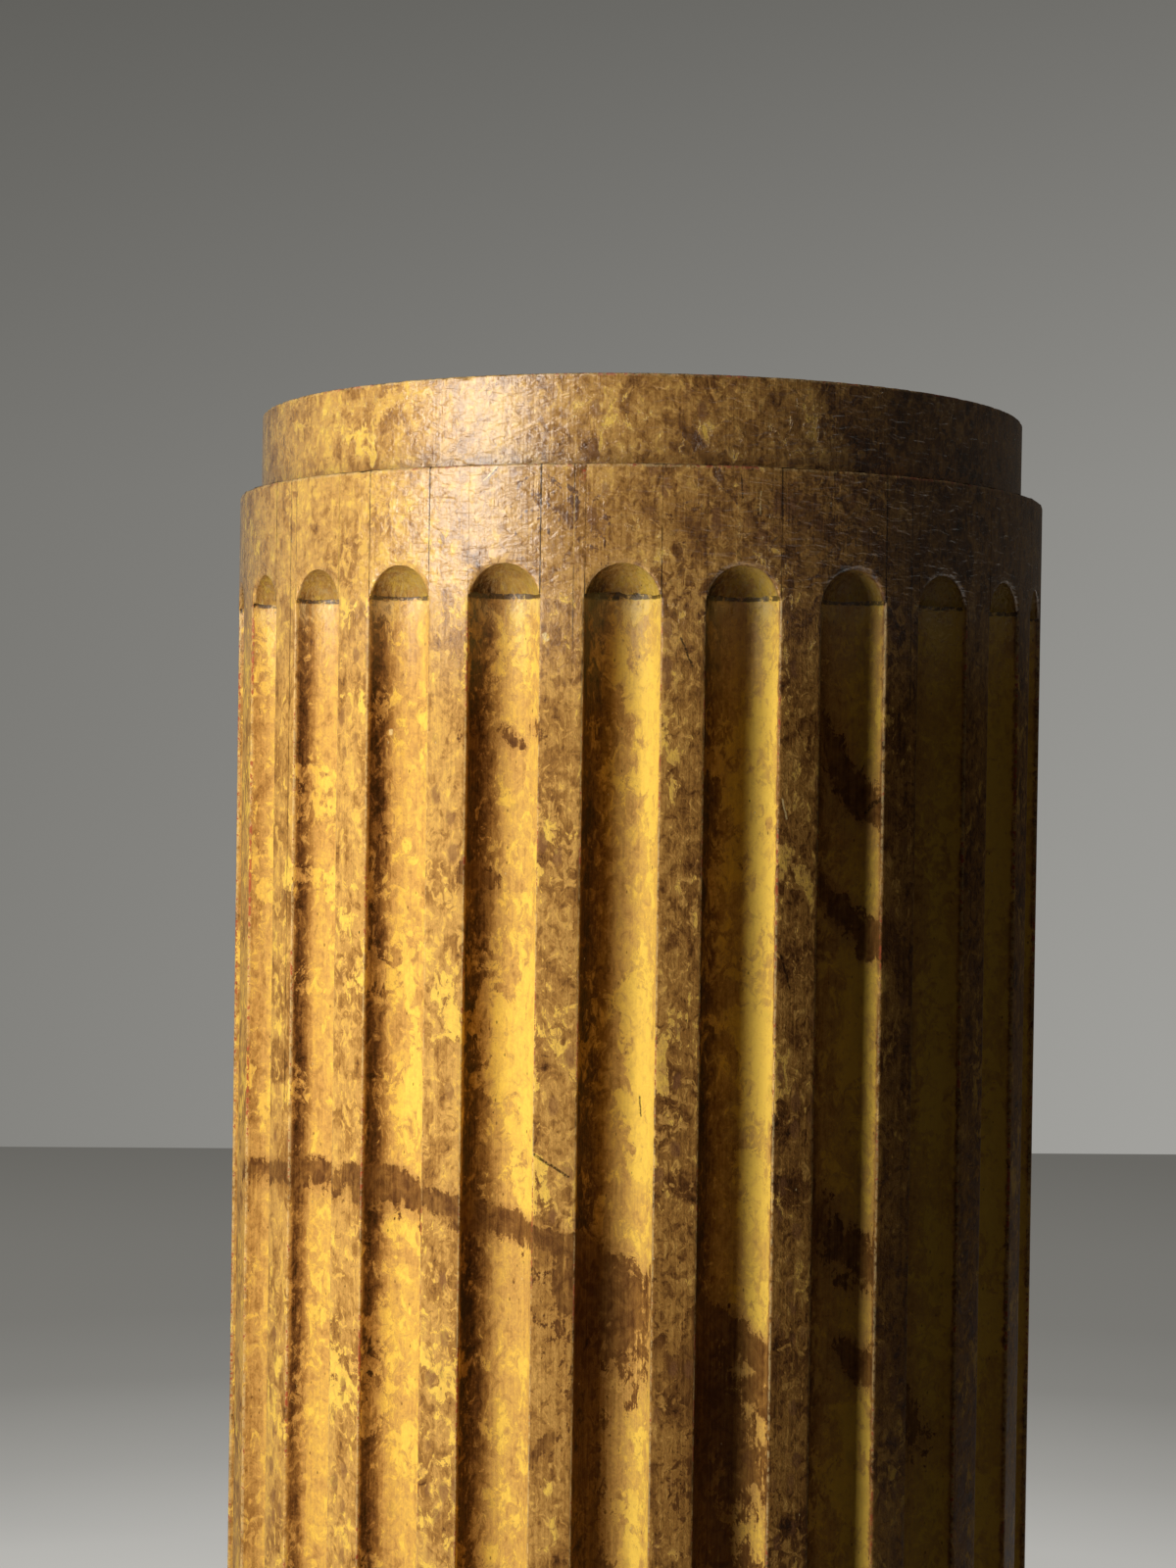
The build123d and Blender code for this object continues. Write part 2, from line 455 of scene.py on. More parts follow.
def spreadTouches(dice):
    for name, (count, low, high, weak) in spread["touches"].items():
        strokes = list(touches[name])
        for number in range(count):
            turn = dice.uniform(*spread["backTurns"])
            height = dice.uniform(*spread["backHeights"])
            turnB = turn + dice.uniform(2, 10)
            heightB = height + dice.uniform(-16, 4)
            size = dice.uniform(low, high)
            strokes.append((turn, height, turnB, heightB, size, dice.uniform(weak, 1), dice.uniform(0.3, 2)))
        for number in range(count // 4):
            turn = dice.uniform(*spread["frontTurns"])
            height = dice.uniform(*spread["frontHeights"])
            size = dice.uniform(low, high)
            turnB = turn + dice.uniform(2, 8)
            strokes.append((turn, height, turnB, height - dice.uniform(2, 12), size, weak + 0.3, 1.0))
        allTouches[name] = strokes


# Veins run on in short lengths, falling to the right
def spreadVeins(dice):
    for number in range(spread["veins"]):
        turn = dice.uniform(*spread["veinTurns"])
        height = dice.uniform(*spread["veinHeights"])
        for length in range(dice.integers(*spread["veinSteps"])):
            turnB = turn + dice.uniform(4, 8)
            heightB = height + dice.uniform(-14, 3)
            size = dice.uniform(2, 4)
            touch = (turn, height, turnB, heightB, size, dice.uniform(0.7, 1), dice.uniform(0.3, 2))
            allTouches["glazeAndShade"].append(touch)
            turn, height = turnB, heightB


def spreadSeams(dice):
    allSeams.extend(seams)
    for number in range(column["flutes"]):
        middle = number * column["flutePitch"]
        for turn in (middle - column["arrisTurn"], middle + column["arrisTurn"]):
            if 60 < turn < 300:
                allSeams.append((turn, 918, 967, float(dice.choice([0.0, 0.5, 0.8, 1.0, -0.8]))))
            allSeams.append((turn, -1, 48, float(dice.choice([0.0, 0.5, 0.8, 1.0]))))
    for number in range(column["staves"]):
        turn = column["jointTurn"] + number * column["staveTurn"]
        low = dice.uniform(20, 400)
        allSeams.append((turn, -1, low, float(dice.uniform(0.4, 0.9))))
        if number > 1:
            allSeams.append((turn, dice.uniform(700, 900), 967, float(dice.uniform(0.5, 1))))


allTouches = {}
allSeams = []
touchDice = np.random.default_rng(spread["seed"])
spreadTouches(touchDice)
spreadVeins(touchDice)
spreadSeams(touchDice)


# Thin marks drawn in the paint: turn and height at each end, half width
darkMarks = [
    (14.4, 962.5, 14.6, 954.3, 0.28), (16.6, 957.4, 16.5, 948.5, 0.2), (-15.9, 964.7, -17.2, 961.0, 0.3),
    (3.0, 735, 3.2, 728, 0.3), (-10.0, 714.5, -5.7, 706.8, 0.5), (34.9, 846, 34.0, 840, 0.5),
    (20.4, 788, 21.6, 776, 0.4), (7.2, 903, 8.6, 893, 0.35), (-0.9, 917.9, -4.4, 917.6, 0.9),
]
paleMarks = [
    (-16.1, 965.0, -17.8, 960.0, 0.3), (16.9, 957.0, 16.8, 949.0, 0.22), (-9.6, 903.6, -9.3, 902.4, 1.0),
    (-33.6, 868.5, -33.6, 867.2, 0.5), (20.3, 845, 20.9, 838, 0.35),
]
# The knock at the shaft's rim: its middle's turn and height, and how much its width is drawn in to look round
knock = {"turn": -3.6, "height": 963.0, "squeeze": 0.45}


# Paint

finish = {
    "yellow": tint(250, 209, 92),
    "gold": tint(231, 186, 88),
    "buff": tint(208, 160, 86),
    "tan": tint(164, 118, 58),
    "brown": tint(106, 68, 33),
    "umber": tint(52, 30, 12),
    "mauve": tint(132, 90, 58),
    "gesso": tint(242, 216, 156),
    "undercoat": tint(172, 62, 34),
    "grime": tint(34, 18, 8),
    "smoke": tint(158, 120, 78),
    "rawWood": tint(176, 134, 86),
    "rawGrain": tint(132, 94, 56),
    "bareUnderside": tint(150, 110, 66),
    "yellowShare": 0.115,
    # the flutes' yellower ground, and painted light on their right walls, which face the lamp
    "fluteYellowAndLitWall": 0.045,
    # painted shade: how much thicker the glaze is made round the column's right side and down each flute's left wall
    "paintedShadeSide": 0.2,
    "leftWallShade": 0.46,
    "varnishRoughness": 0.27,
    "lowerRoughness": 0.2,
    "varnishCoat": 0.8,
    # the heights between which the duller varnish turns glossy
    "varnishFade": (870.0, 940.0),
}


# A group that gives 1 on a thin stroke between two points of the unrolled surface
def strokeGroup():
    tree = bpy.data.node_groups.new("paintStroke", "ShaderNodeTree")
    for name, kind in (("Place", "Vector"), ("Start", "Vector"), ("End", "Vector"), ("Half Width", "Float")):
        tree.interface.new_socket(name, in_out="INPUT", socket_type="NodeSocket" + kind)
    tree.interface.new_socket("Mask", in_out="OUTPUT", socket_type="NodeSocketFloat")
    w = Wiring(tree)
    entry = w.node("NodeGroupInput").outputs
    along = w.vector("SUBTRACT", entry["End"], entry["Start"])
    offset = w.vector("SUBTRACT", entry["Place"], entry["Start"])
    share = w.math("DIVIDE", w.vector("DOT_PRODUCT", offset, along), w.vector("DOT_PRODUCT", along, along), clamp=True)
    miss = w.vector("LENGTH", w.vector("SUBTRACT", offset, w.vector("SCALE", along, share)))
    mask = w.step(miss, w.times(entry["Half Width"], 1.3), w.times(entry["Half Width"], 0.6))
    w.node("NodeGroupOutput", {"Mask": mask})
    return tree


paintStroke = strokeGroup()


# Goes from 0 to 1 as a height goes from low to high past either joint across the flutes
def pastJoints(w, height, low, high):
    upper, lower = column["upperJoint"], column["lowerJoint"]
    return w.add(w.step(height, upper + low, upper + high), w.step(height, lower - low, lower - high))


# Where a paint is on the column, and the noises and masks that its layers share.
# kind is "wood" for the staves, "plug" for the flutes' ends or "cap".
def paintField(name, kind):
    material, w, place = newMaterial(name)
    x, y, z = w.node("ShaderNodeSeparateXYZ", {0: place}).outputs
    radius = w.vector("LENGTH", w.join(x, y, 0.0))
    turn = w.times(w.math("ARCTAN2", x, w.times(y, -1.0)), math.degrees(1))
    sunk = w.step(radius, column["radius"] - 0.9, column["radius"] - 3.0) if kind != "cap" else 0.0
    fold = w.math("WRAP", turn, column["flutePitch"] / 2, -column["flutePitch"] / 2)
    upright = w.vector("MULTIPLY", place, (1, 1, 0.5))
    grain = w.vector("MULTIPLY", place, (1, 1, 0.035))

    wash = w.noise(upright, 34, 2, 0.55, shift=3)
    torn = w.noise(w.vector("MULTIPLY", place, (1, 1, 0.65)), 8.0, 6, 0.7, 0.7, shift=8)
    curls = w.noise(w.vector("MULTIPLY", place, (1, 1, 0.75)), 3.8, 4, 0.64, 0.8, shift=21)
    clouds = w.noise(w.vector("MULTIPLY", place, (1, 1, 0.7)), 12, 5, 0.62, 0.6, shift=14)
    streaks = w.noise(grain, 0.95, 2, 0.65, shift=5)
    fine = w.noise(w.vector("MULTIPLY", place, (1, 1, 0.8)), 1.2, 3, 0.65, 0.8, shift=4)
    clusters = w.noise(place, 42, 1, 0.5, shift=1.5)
    otherClusters = w.noise(place, 36, 1, 0.5, shift=12)
    # painted shade: the paint is made browner round the right of the column, away from the key lamp, and down the left
    # wall of each flute, where the flute's own shadow falls
    paintedShadeSide = w.times(w.step(turn, -34.0, 24.0), w.step(turn, 150.0, 95.0))
    # painted shade down each flute's left wall, where its own shadow falls, wider on the flutes further right and weak
    # at the far left
    leftShadeReach = w.blend(w.step(turn, -48.0, 4.0), -3.7, 0.6)
    leftWallShade = w.times(w.step(fold, leftShadeReach, -4.8), sunk, w.blend(w.step(turn, -68.0, -44.0), 0.3, 1.15))
    # painted light: the right wall of each flute, which faces the lamp
    rightWallLight = w.times(w.step(fold, 0.5, 3.6), sunk)
    onBand = 1.0 if kind == "cap" else w.times(w.less(1.0, sunk), pastJoints(w, z, -4.3, 5.7))
    inDome = w.step(radius, column["radius"] - 0.5, column["radius"] - 1.5) if kind == "plug" else 0.0
    # the place on the unrolled surface, for the listed marks
    unrolled = w.join(w.times(turn, column["degree"]), 0.0, z)
    unrolled = w.vector("ADD", unrolled, w.join(w.sway(curls, 1.6), 0.0, w.sway(torn, 1.6)))
    return SimpleNamespace(
        kind=kind, material=material, w=w, place=place, upright=upright, unrolled=unrolled, radius=radius, z=z,
        fold=fold, sunk=sunk, leftWallShade=leftWallShade, rightWallLight=rightWallLight, paintedShadeSide=paintedShadeSide, onBand=onBand,
        inDome=inDome, wash=wash, torn=torn, curls=curls, clouds=clouds, streaks=streaks, fine=fine,
        clusters=clusters, otherClusters=otherClusters, chatter=w.noise(place, 2.6, 3, 0.7, shift=9),
    )


# Bare yellow ground where the glaze was dabbed off, with torn edges
def liftedGlaze(p):
    w = p.w
    lifted = w.add(p.torn, w.sway(p.clusters, 0.45), w.sway(p.curls, 0.45), w.sway(p.streaks, 0.22))
    # painted light: the flutes' right walls get more of the bare yellow ground, most on the shaded side
    litWallYellow = w.times(p.rightWallLight, w.add(1.0, w.times(p.paintedShadeSide, 1.6)))
    lifted = w.add(lifted, w.times(w.add(p.sunk, litWallYellow), finish["fluteYellowAndLitWall"]), w.times(w.painted("bright"), 0.28))
    lifted = w.add(lifted, w.times(p.onBand, -0.09), w.sway(p.fine, 0.14))
    return w.step(lifted, 0.5 + finish["yellowShare"], 0.535 + finish["yellowShare"])


# Brown glaze over the yellow ground, thin where it was lifted and thick in clouds and the painter's veins, and made
# thicker as painted shade round the column's right side, down the flutes' left walls and in a few broad touches
def glazedColour(p, lift):
    w, sunk, onBand, torn, curls, streaks, fine = p.w, p.sunk, p.onBand, p.torn, p.curls, p.streaks, p.fine
    # small curled flakes of the ground, and curled brown marks
    curled = w.add(curls, w.sway(p.otherClusters, 0.4), w.sway(streaks, 0.12), w.sway(fine, 0.12))
    flake = w.step(w.add(curled, w.times(onBand, 0.02)), 0.55, 0.64)
    mark = w.step(curled, 0.44, 0.36)
    glazeAndShade = w.painted("glazeAndShade")
    cloud = w.step(w.add(p.clouds, w.sway(p.otherClusters, 0.5), w.sway(curls, 0.3)), 0.47, 0.62)
    vein = w.add(w.sway(torn, 1.5), w.sway(curls, 1.0), w.sway(streaks, 0.25), w.sway(fine, 0.4))
    vein = w.add(glazeAndShade, w.times(vein, w.step(glazeAndShade, 0.02, 0.3)))
    veinMask = w.step(vein, 0.42, 0.56)
    veinHalo = w.step(vein, 0.12, 0.46)

    thick = w.add(0.43, w.sway(p.wash, 0.26), w.sway(streaks, 0.34), w.sway(fine, 0.38), w.times(sunk, -0.1))
    thick = w.add(thick, w.times(onBand, -0.02))
    thick = w.add(thick, w.times(cloud, w.less(0.18, w.times(sunk, 0.1))), w.sway(torn, -0.45))
    thick = w.add(thick, w.sway(curls, -0.34), w.times(mark, w.less(0.13, w.times(sunk, 0.06))))
    bare = w.add(0.09, w.sway(streaks, 0.36), w.sway(curls, -0.75), w.sway(fine, 0.5), w.times(mark, 0.12))
    thick = w.blend(w.times(flake, 0.55), thick, w.add(bare, 0.1))
    thick = w.blend(w.times(lift, 0.9), thick, bare)
    # painted shade round the right side, less in the flutes and least on their right walls, which face the lamp
    sideShadeShare = w.less(1.0, w.add(w.times(sunk, 0.6), w.times(p.rightWallLight, 0.9)))
    thick = w.add(thick, w.times(p.paintedShadeSide, sideShadeShare, finish["paintedShadeSide"]), w.times(p.leftWallShade, finish["leftWallShade"]))
    # painted light: each dome's paint is made lighter towards its right side, which faces the lamp
    if p.kind == "plug":
        thick = w.less(thick, w.times(p.inDome, w.step(p.fold, -3.5, 2.5), 0.12))
    thick = w.blend(w.times(veinHalo, 0.45), thick, w.add(0.62, w.sway(streaks, 0.3)))
    thick = w.blend(w.times(veinMask, 0.85), thick, w.add(0.8, w.sway(streaks, 0.3), w.sway(curls, 0.7)))
    stops = ((0.0, "yellow"), (0.24, "gold"), (0.42, "buff"), (0.62, "tan"), (0.82, "brown"), (1.0, "umber"))
    return w.ramp(w.math("MAXIMUM", thick, 0.0), [(position, finish[colour]) for position, colour in stops])


# Mauve leaves, dabbed in clusters
def addLeaves(p, colour):
    w = p.w
    bend = w.join(w.sway(p.curls, 3.0), w.sway(p.curls, -3.0), w.sway(p.torn, 5.0))
    bent = w.vector("ADD", w.vector("MULTIPLY", p.place, (1, 1, 0.58)), bend)
    leaves = w.node("ShaderNodeTexVoronoi", {"Vector": bent, "Scale": 1 / 5.6, "Randomness": 1.0}).outputs
    chance = w.node("ShaderNodeSeparateColor", {0: leaves["Color"]}).outputs[0]
    # the painted shade side also gets more of the mauve leaves
    chance = w.add(chance, w.times(w.painted("mauve"), 0.75), w.sway(p.otherClusters, 0.6), w.times(p.paintedShadeSide, 0.12))
    leaf = w.times(w.step(leaves["Distance"], 0.46, 0.26), w.step(chance, 0.93, 1.05))
    return w.mix(w.times(leaf, w.less(1.0, w.times(p.sunk, 0.7)), 0.6), colour, finish["mauve"])


# Specks, pinholes and chips
def addSpecks(p, colour):
    w = p.w
    specks = w.node("ShaderNodeTexVoronoi", {"Vector": p.upright, "Scale": 1 / 3.0, "Randomness": 1.0}).outputs
    chances = w.node("ShaderNodeSeparateColor", {0: specks["Color"]}).outputs
    speck = w.times(w.step(specks["Distance"], 0.14, 0.07), w.step(chances[0], 0.7, 0.8))
    colour = w.mix(w.times(speck, 0.7), colour, finish["brown"])
    p.hole = w.times(w.step(specks["Distance"], 0.085, 0.06), w.step(chances[1], 0.975, 0.985))
    colour = w.mix(p.hole, colour, finish["grime"])
    p.fleck = w.times(w.step(specks["Distance"], 0.10, 0.07), w.step(chances[2], 0.96, 0.97))
    return w.mix(w.times(p.fleck, 0.8), colour, finish["gesso"])


# Thin listed marks, those that a piece of this kind has
def addMarks(p, colour):
    w = p.w
    for marks, shade in ((darkMarks, "grime"), (paleMarks, "gesso")):
        drawn = None
        for turnA, heightA, turnB, heightB, halfWidth in marks:
            onCap = heightA > column["shaftTop"]
            if onCap != (p.kind == "cap") or (p.kind == "plug" and max(heightA, heightB) < column["upperDome"]):
                continue
            stroke = w.node("ShaderNodeGroup", node_tree=paintStroke)
            w.feed(stroke.inputs["Place"], p.unrolled)
            w.feed(stroke.inputs["Start"], (turnA * column["degree"], 0.0, heightA))
            w.feed(stroke.inputs["End"], (turnB * column["degree"], 0.0, heightB))
            w.feed(stroke.inputs["Half Width"], halfWidth)
            mask = stroke.outputs["Mask"]
            drawn = mask if drawn is None else w.math("MAXIMUM", drawn, mask)
        if drawn is not None:
            colour = w.mix(w.times(drawn, w.step(p.fine, 0.36, 0.5), 0.85), colour, finish[shade])
    return colour


# Where the edges of a piece are
def edgeMask(p):
    w, z, radius, top = p.w, p.z, p.radius, column["shaftTop"]
    if p.kind == "cap":
        rim = w.step(z, column["capTop"] - 1.4, column["capTop"] - 0.5)
        rim = w.times(rim, w.step(radius, column["capRadius"] - 2.2, column["capRadius"] - 1.0))
        return w.math("MAXIMUM", rim, w.times(w.step(z, top + 1.6, top + 0.6), 0.8))
    onSkin = w.step(radius, column["radius"] - 1.6, column["radius"] - 0.9)
    miss = w.times(w.less(w.math("ABSOLUTE", p.fold), column["arrisTurn"]), column["degree"])
    arris = w.times(w.step(w.math("ABSOLUTE", miss), 0.75, 0.3), onSkin)
    upper, lower = column["upperJoint"], column["lowerJoint"]
    onPlug = w.add(w.step(z, upper - 1.3, upper + 1.7), w.step(z, lower + 0.3, lower - 1.7))
    arris = w.times(arris, w.less(1.0, onPlug))
    rim = w.add(w.step(z, top - 1.6, top - 0.7), w.step(z, 1.8, 0.8))
    return w.math("MAXIMUM", arris, w.times(rim, onSkin))


# Edges rubbed down to the gesso and the red undercoat
def addWear(p, colour):
    w, chatter, edge = p.w, p.chatter, edgeMask(p)
    p.rubbed = w.times(edge, w.step(w.add(chatter, w.sway(p.wash, 0.3)), 0.40, 0.55))
    colour = w.mix(w.times(p.rubbed, 0.4), colour, finish["gesso"])
    redness = w.times(edge, w.step(w.add(chatter, w.sway(p.clusters, 0.5)), 0.57, 0.62))
    if p.kind == "wood":
        narrowed = w.vector("MULTIPLY", p.unrolled, (knock["squeeze"], 0, 1))
        middle = (knock["turn"] * column["degree"] * knock["squeeze"], 0.0, knock["height"])
        knocked = w.step(w.vector("DISTANCE", narrowed, middle), 4.6, 1.6)
        colour = w.mix(w.times(knocked, 0.55), colour, finish["brown"])
        redness = w.math("MAXIMUM", redness, w.times(knocked, w.step(chatter, 0.5, 0.58)))
    return w.mix(w.times(redness, 0.8), colour, finish["undercoat"])


# Joints, broken up, some dark and some under paint that stands up over them, with a painted highlight along that paint
def addJoints(p, colour):
    w = p.w
    seam = w.painted("seam")
    gaps = w.sway(w.noise(w.vector("MULTIPLY", p.place, (1, 1, 0.3)), 3, 2, 0.6, shift=17), 1.2)
    dark = w.step(w.add(seam, w.times(gaps, w.step(seam, 0.05, 0.3))), 0.36, 0.62)
    # painted highlight: a pale line where the paint stands up over a joint
    pale = w.step(w.times(w.add(seam, w.times(gaps, -0.6)), -1.0), 0.25, 0.5)
    colour = w.mix(w.times(pale, 0.5), colour, finish["gold"])
    return w.mix(w.times(dark, 0.7), colour, finish["grime"])


# The domes show smoke, their grain and dirt, which is thickest at the crack under them
def addDomeDirt(p, colour):
    w, inDome = p.w, p.inDome
    p.carved = w.noise(w.vector("MULTIPLY", p.place, (1, 1, 0.12)), 1.3, 3, 0.65, shift=23)
    smoked = w.times(inDome, w.step(w.add(p.wash, w.sway(p.torn, 0.9), w.sway(p.carved, 0.6)), 0.40, 0.68))
    colour = w.mix(w.times(smoked, 0.35), colour, finish["smoke"])
    colour = w.mix(w.times(inDome, w.step(p.carved, 0.5, 0.62), 0.34), colour, finish["gesso"])
    colour = w.mix(w.times(inDome, w.step(p.carved, 0.44, 0.32), 0.4), colour, finish["brown"])
    # this is 1 over a whole dome and 2 at its crack, because each step is also 1 on the other end's plugs
    ragged, upper, lower = w.add(p.z, w.sway(p.chatter, 1.4)), column["upperJoint"], column["lowerJoint"]
    dirt = w.add(w.step(ragged, upper + 0.6, upper + 0.1), w.step(ragged, lower - 0.8, lower - 0.3))
    return w.mix(w.times(dirt, inDome, 0.4), colour, finish["grime"])


# Dirt in the cracks across the flutes, pale paint under the upper ones, and bare wood on the ends and inside
def addCracks(p, colour):
    w, z, top, upper = p.w, p.z, column["shaftTop"], column["upperJoint"]
    deep = w.step(p.radius, column["radius"] - 0.4, column["radius"] - 1.0)
    crack = w.times(pastJoints(w, w.add(z, w.sway(p.chatter, 1.4)), -1.0, -0.5), deep)
    colour = w.mix(w.times(crack, w.step(p.chatter, 0.34, 0.5), 0.85), colour, finish["grime"])
    pale = w.times(w.step(z, upper - 10.3, upper - 1.8), w.step(z, upper - 0.5, upper - 1.5), p.sunk)
    pale = w.times(pale, w.step(w.add(p.torn, w.sway(p.streaks, 0.5)), 0.42, 0.6))
    colour = w.mix(w.times(pale, 0.35), colour, finish["gesso"])
    ends = w.add(w.step(z, 0.15, 0.05), w.step(z, top - 0.15, top - 0.05))
    p.rawness = w.math("MAXIMUM", ends, w.step(p.radius, column["radius"] - 18.0, column["radius"] - 19.0))
    rawWood = w.mix(w.step(p.streaks, 0.3, 0.7), finish["rawWood"], finish["rawGrain"])
    return w.mix(w.times(p.rawness, 0.92), colour, rawWood)


# Relief: brush ridges, grain, the glaze's own thickness and the holes
def paintRelief(p, lift):
    w, onBand = p.w, p.onBand
    ridges = w.noise(w.vector("MULTIPLY", p.place, (0.36, 0.36, 1)), 2.3, 2, 0.5, 0.6, shift=6)
    relief = w.add(
        w.times(p.fine, w.less(0.6, w.times(onBand, 0.3))), w.times(p.streaks, 0.25), w.times(lift, -0.2),
        w.times(p.curls, w.less(0.6, w.times(onBand, 0.35))), w.times(p.hole, -2.0), w.times(p.fleck, 0.6),
        w.times(ridges, w.add(0.3, w.times(onBand, 1.2))),
    )
    if p.kind == "plug":
        relief = w.add(relief, w.times(p.inDome, p.carved, 1.2))
    return w.node("ShaderNodeBump", {"Strength": 1.0, "Distance": 0.5 * mm, "Height": relief}).outputs[0]


# Varnish, glossy at the column's top and duller down the shaft
def varnish(p):
    w = p.w
    rough = w.add(finish["varnishRoughness"], w.sway(p.wash, 0.16), w.sway(p.curls, 0.3), w.times(p.rubbed, 0.2))
    specular, coat = 1.0, finish["varnishCoat"]
    if p.kind != "cap":
        upperEnd = w.step(p.z, *finish["varnishFade"])
        rough = w.add(rough, w.times(w.less(1.0, upperEnd), finish["lowerRoughness"]))
        specular, coat = w.add(0.12, w.times(upperEnd, 0.88)), w.times(upperEnd, coat)
    if p.kind == "wood":
        rough = w.math("MAXIMUM", rough, w.times(p.rawness, 0.75))
    if p.kind == "plug":
        dull = w.less(1.0, w.times(p.inDome, 0.85))
        specular, coat = w.times(specular, dull), w.times(coat, dull)
    return {"Roughness": rough, "Specular IOR Level": specular, "Coat Weight": coat}


def marbledPaint(name, kind):
    p = paintField(name, kind)
    w = p.w
    lift = liftedGlaze(p)
    colour = glazedColour(p, lift)
    for addLayer in (addLeaves, addSpecks, addMarks, addWear, addJoints):
        colour = addLayer(p, colour)
    if kind == "plug":
        colour = addDomeDirt(p, colour)
    if kind == "wood":
        colour = addCracks(p, colour)
    if kind == "cap":
        underside = w.step(p.z, column["shaftTop"] + 0.1, column["shaftTop"] + 0.02)
        colour = w.mix(underside, colour, finish["bareUnderside"])
    bump = paintRelief(p, lift)
    shader = w.node("ShaderNodeBsdfPrincipled", {
        "Base Color": colour, "Normal": bump, "Coat Normal": bump, "Coat Roughness": 0.2, **varnish(p),
    })
    w.node("ShaderNodeOutputMaterial", {"Surface": shader.outputs[0]})
    return p.material


def bareWood(name):
    material, w, place = newMaterial(name)
    y = w.node("ShaderNodeSeparateXYZ", {0: place}).outputs[1]
    bend = w.noise(w.vector("MULTIPLY", place, (0.2, 1, 1)), 55, 2, 0.5, shift=2)
    rings = w.math("SINE", w.times(w.add(y, w.times(bend, 60.0)), 0.9))
    fibres = w.noise(w.vector("MULTIPLY", place, (0.04, 1, 1)), 1.2, 3, 0.6, shift=5)
    stain = w.noise(place, 46, 4, 0.6, shift=7)
    amount = w.add(0.35, w.times(rings, 0.14), w.sway(fibres, 0.5))
    colour = w.mix(w.step(amount, 0.0, 0.9), tint(186, 146, 96), tint(134, 94, 54))
    colour = w.mix(w.times(w.step(stain, 0.5, 0.75), 0.6), colour, tint(84, 60, 38))
    bump = w.node("ShaderNodeBump", {"Strength": 0.5, "Distance": 0.4 * mm, "Height": fibres})
    shader = w.node("ShaderNodeBsdfPrincipled", {
        "Base Color": colour, "Roughness": w.add(0.68, w.sway(fibres, 0.2)), "Normal": bump.outputs[0],
    })
    w.node("ShaderNodeOutputMaterial", {"Surface": shader.outputs[0]})
    return material


def wornSteel(name):
    material, w, place = newMaterial(name)
    z = w.node("ShaderNodeSeparateXYZ", {0: place}).outputs[2]
    rust = w.step(w.noise(place, 2.6, 4, 0.65, shift=3), 0.45, 0.6)
    scratches = w.noise(w.vector("MULTIPLY", place, (1, 0.08, 1)), 0.35, 2, 0.6, shift=4)
    inSlot = w.step(z, column["capTop"] - 1.1, column["capTop"] - 1.35)
    dark = w.math("MAXIMUM", rust, inSlot)
    colour = w.mix(dark, tint(150, 142, 130), tint(82, 52, 34))
    colour = w.mix(w.step(scratches, 0.4, 0.8), colour, tint(112, 96, 78))
    bump = w.node("ShaderNodeBump", {"Strength": 0.4, "Distance": 0.15 * mm, "Height": w.add(rust, scratches)})
    shader = w.node("ShaderNodeBsdfPrincipled", {
        "Base Color": colour, "Metallic": w.less(1.0, w.times(dark, 0.9)),
        "Roughness": w.add(0.36, w.times(dark, 0.35)), "Normal": bump.outputs[0],
    })
    w.node("ShaderNodeOutputMaterial", {"Surface": shader.outputs[0]})
    return material


# Geometry

# the inputs of a shape tree that aren't plain numbers
inputKinds = {"Outline": "Object", "Cutter": "Object", "Screws": "Int", "Material": "Material"}


# A geometry tree with named inputs, which growPiece gives their values; lengths in it are metres
def newShapeTree(name, labels):
    tree = bpy.data.node_groups.new(name, "GeometryNodeTree")
    tree.is_modifier = True
    tree.interface.new_socket("Geometry", in_out="INPUT", socket_type="NodeSocketGeometry")
    tree.interface.new_socket("Geometry", in_out="OUTPUT", socket_type="NodeSocketGeometry")
    for label in (*labels, "Seed", "Waviness", "Material"):
        kind = inputKinds.get(label, "Float")
        tree.interface.new_socket(label, in_out="INPUT", socket_type="NodeSocket" + kind)
    w = Wiring(tree)
    return w, w.node("NodeGroupInput").outputs


# Ends a tree in Realize Instances and Set Material
def endShapeTree(w, shape, material):
    real = w.node("GeometryNodeRealizeInstances", {0: shape}).outputs[0]
    dressed = w.node("GeometryNodeSetMaterial", {"Geometry": real, "Material": material}).outputs[0]
    w.node("NodeGroupOutput", {0: dressed})


def namedAmount(w, name, kind="FLOAT"):
    return w.node("GeometryNodeInputNamedAttribute", {"Name": name}, data_type=kind).outputs["Attribute"]


# Runs a tree on a base mesh and gives the plain piece
def growPiece(name, base, tree, values, sharpAngle=50):
    holder = addObject(name + "Base", base)
    modifier = holder.modifiers.new("shape", "NODES")
    modifier.node_group = tree
    sockets = {item.name: item.identifier for item in tree.interface.items_tree if item.in_out == "INPUT"}
    for label, value in values.items():
        modifier[sockets[label]] = value
    mesh = bpy.data.meshes.new_from_object(holder.evaluated_get(bpy.context.evaluated_depsgraph_get()))
    bpy.data.objects.remove(holder)
    mesh.name = name
    work = bmesh.new()
    work.from_mesh(mesh)
    bmesh.ops.remove_doubles(work, verts=work.verts, dist=0.01 * mm)
    bmesh.ops.recalc_face_normals(work, faces=work.faces)
    work.to_mesh(mesh)
    work.free()
    mesh.shade_smooth()
    mesh.set_sharp_from_angle(angle=math.radians(sharpAngle))
    layTouches(mesh)
    return addObject(name, mesh)


def handOver(piece, node):
    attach(piece, "root")
    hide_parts(node)


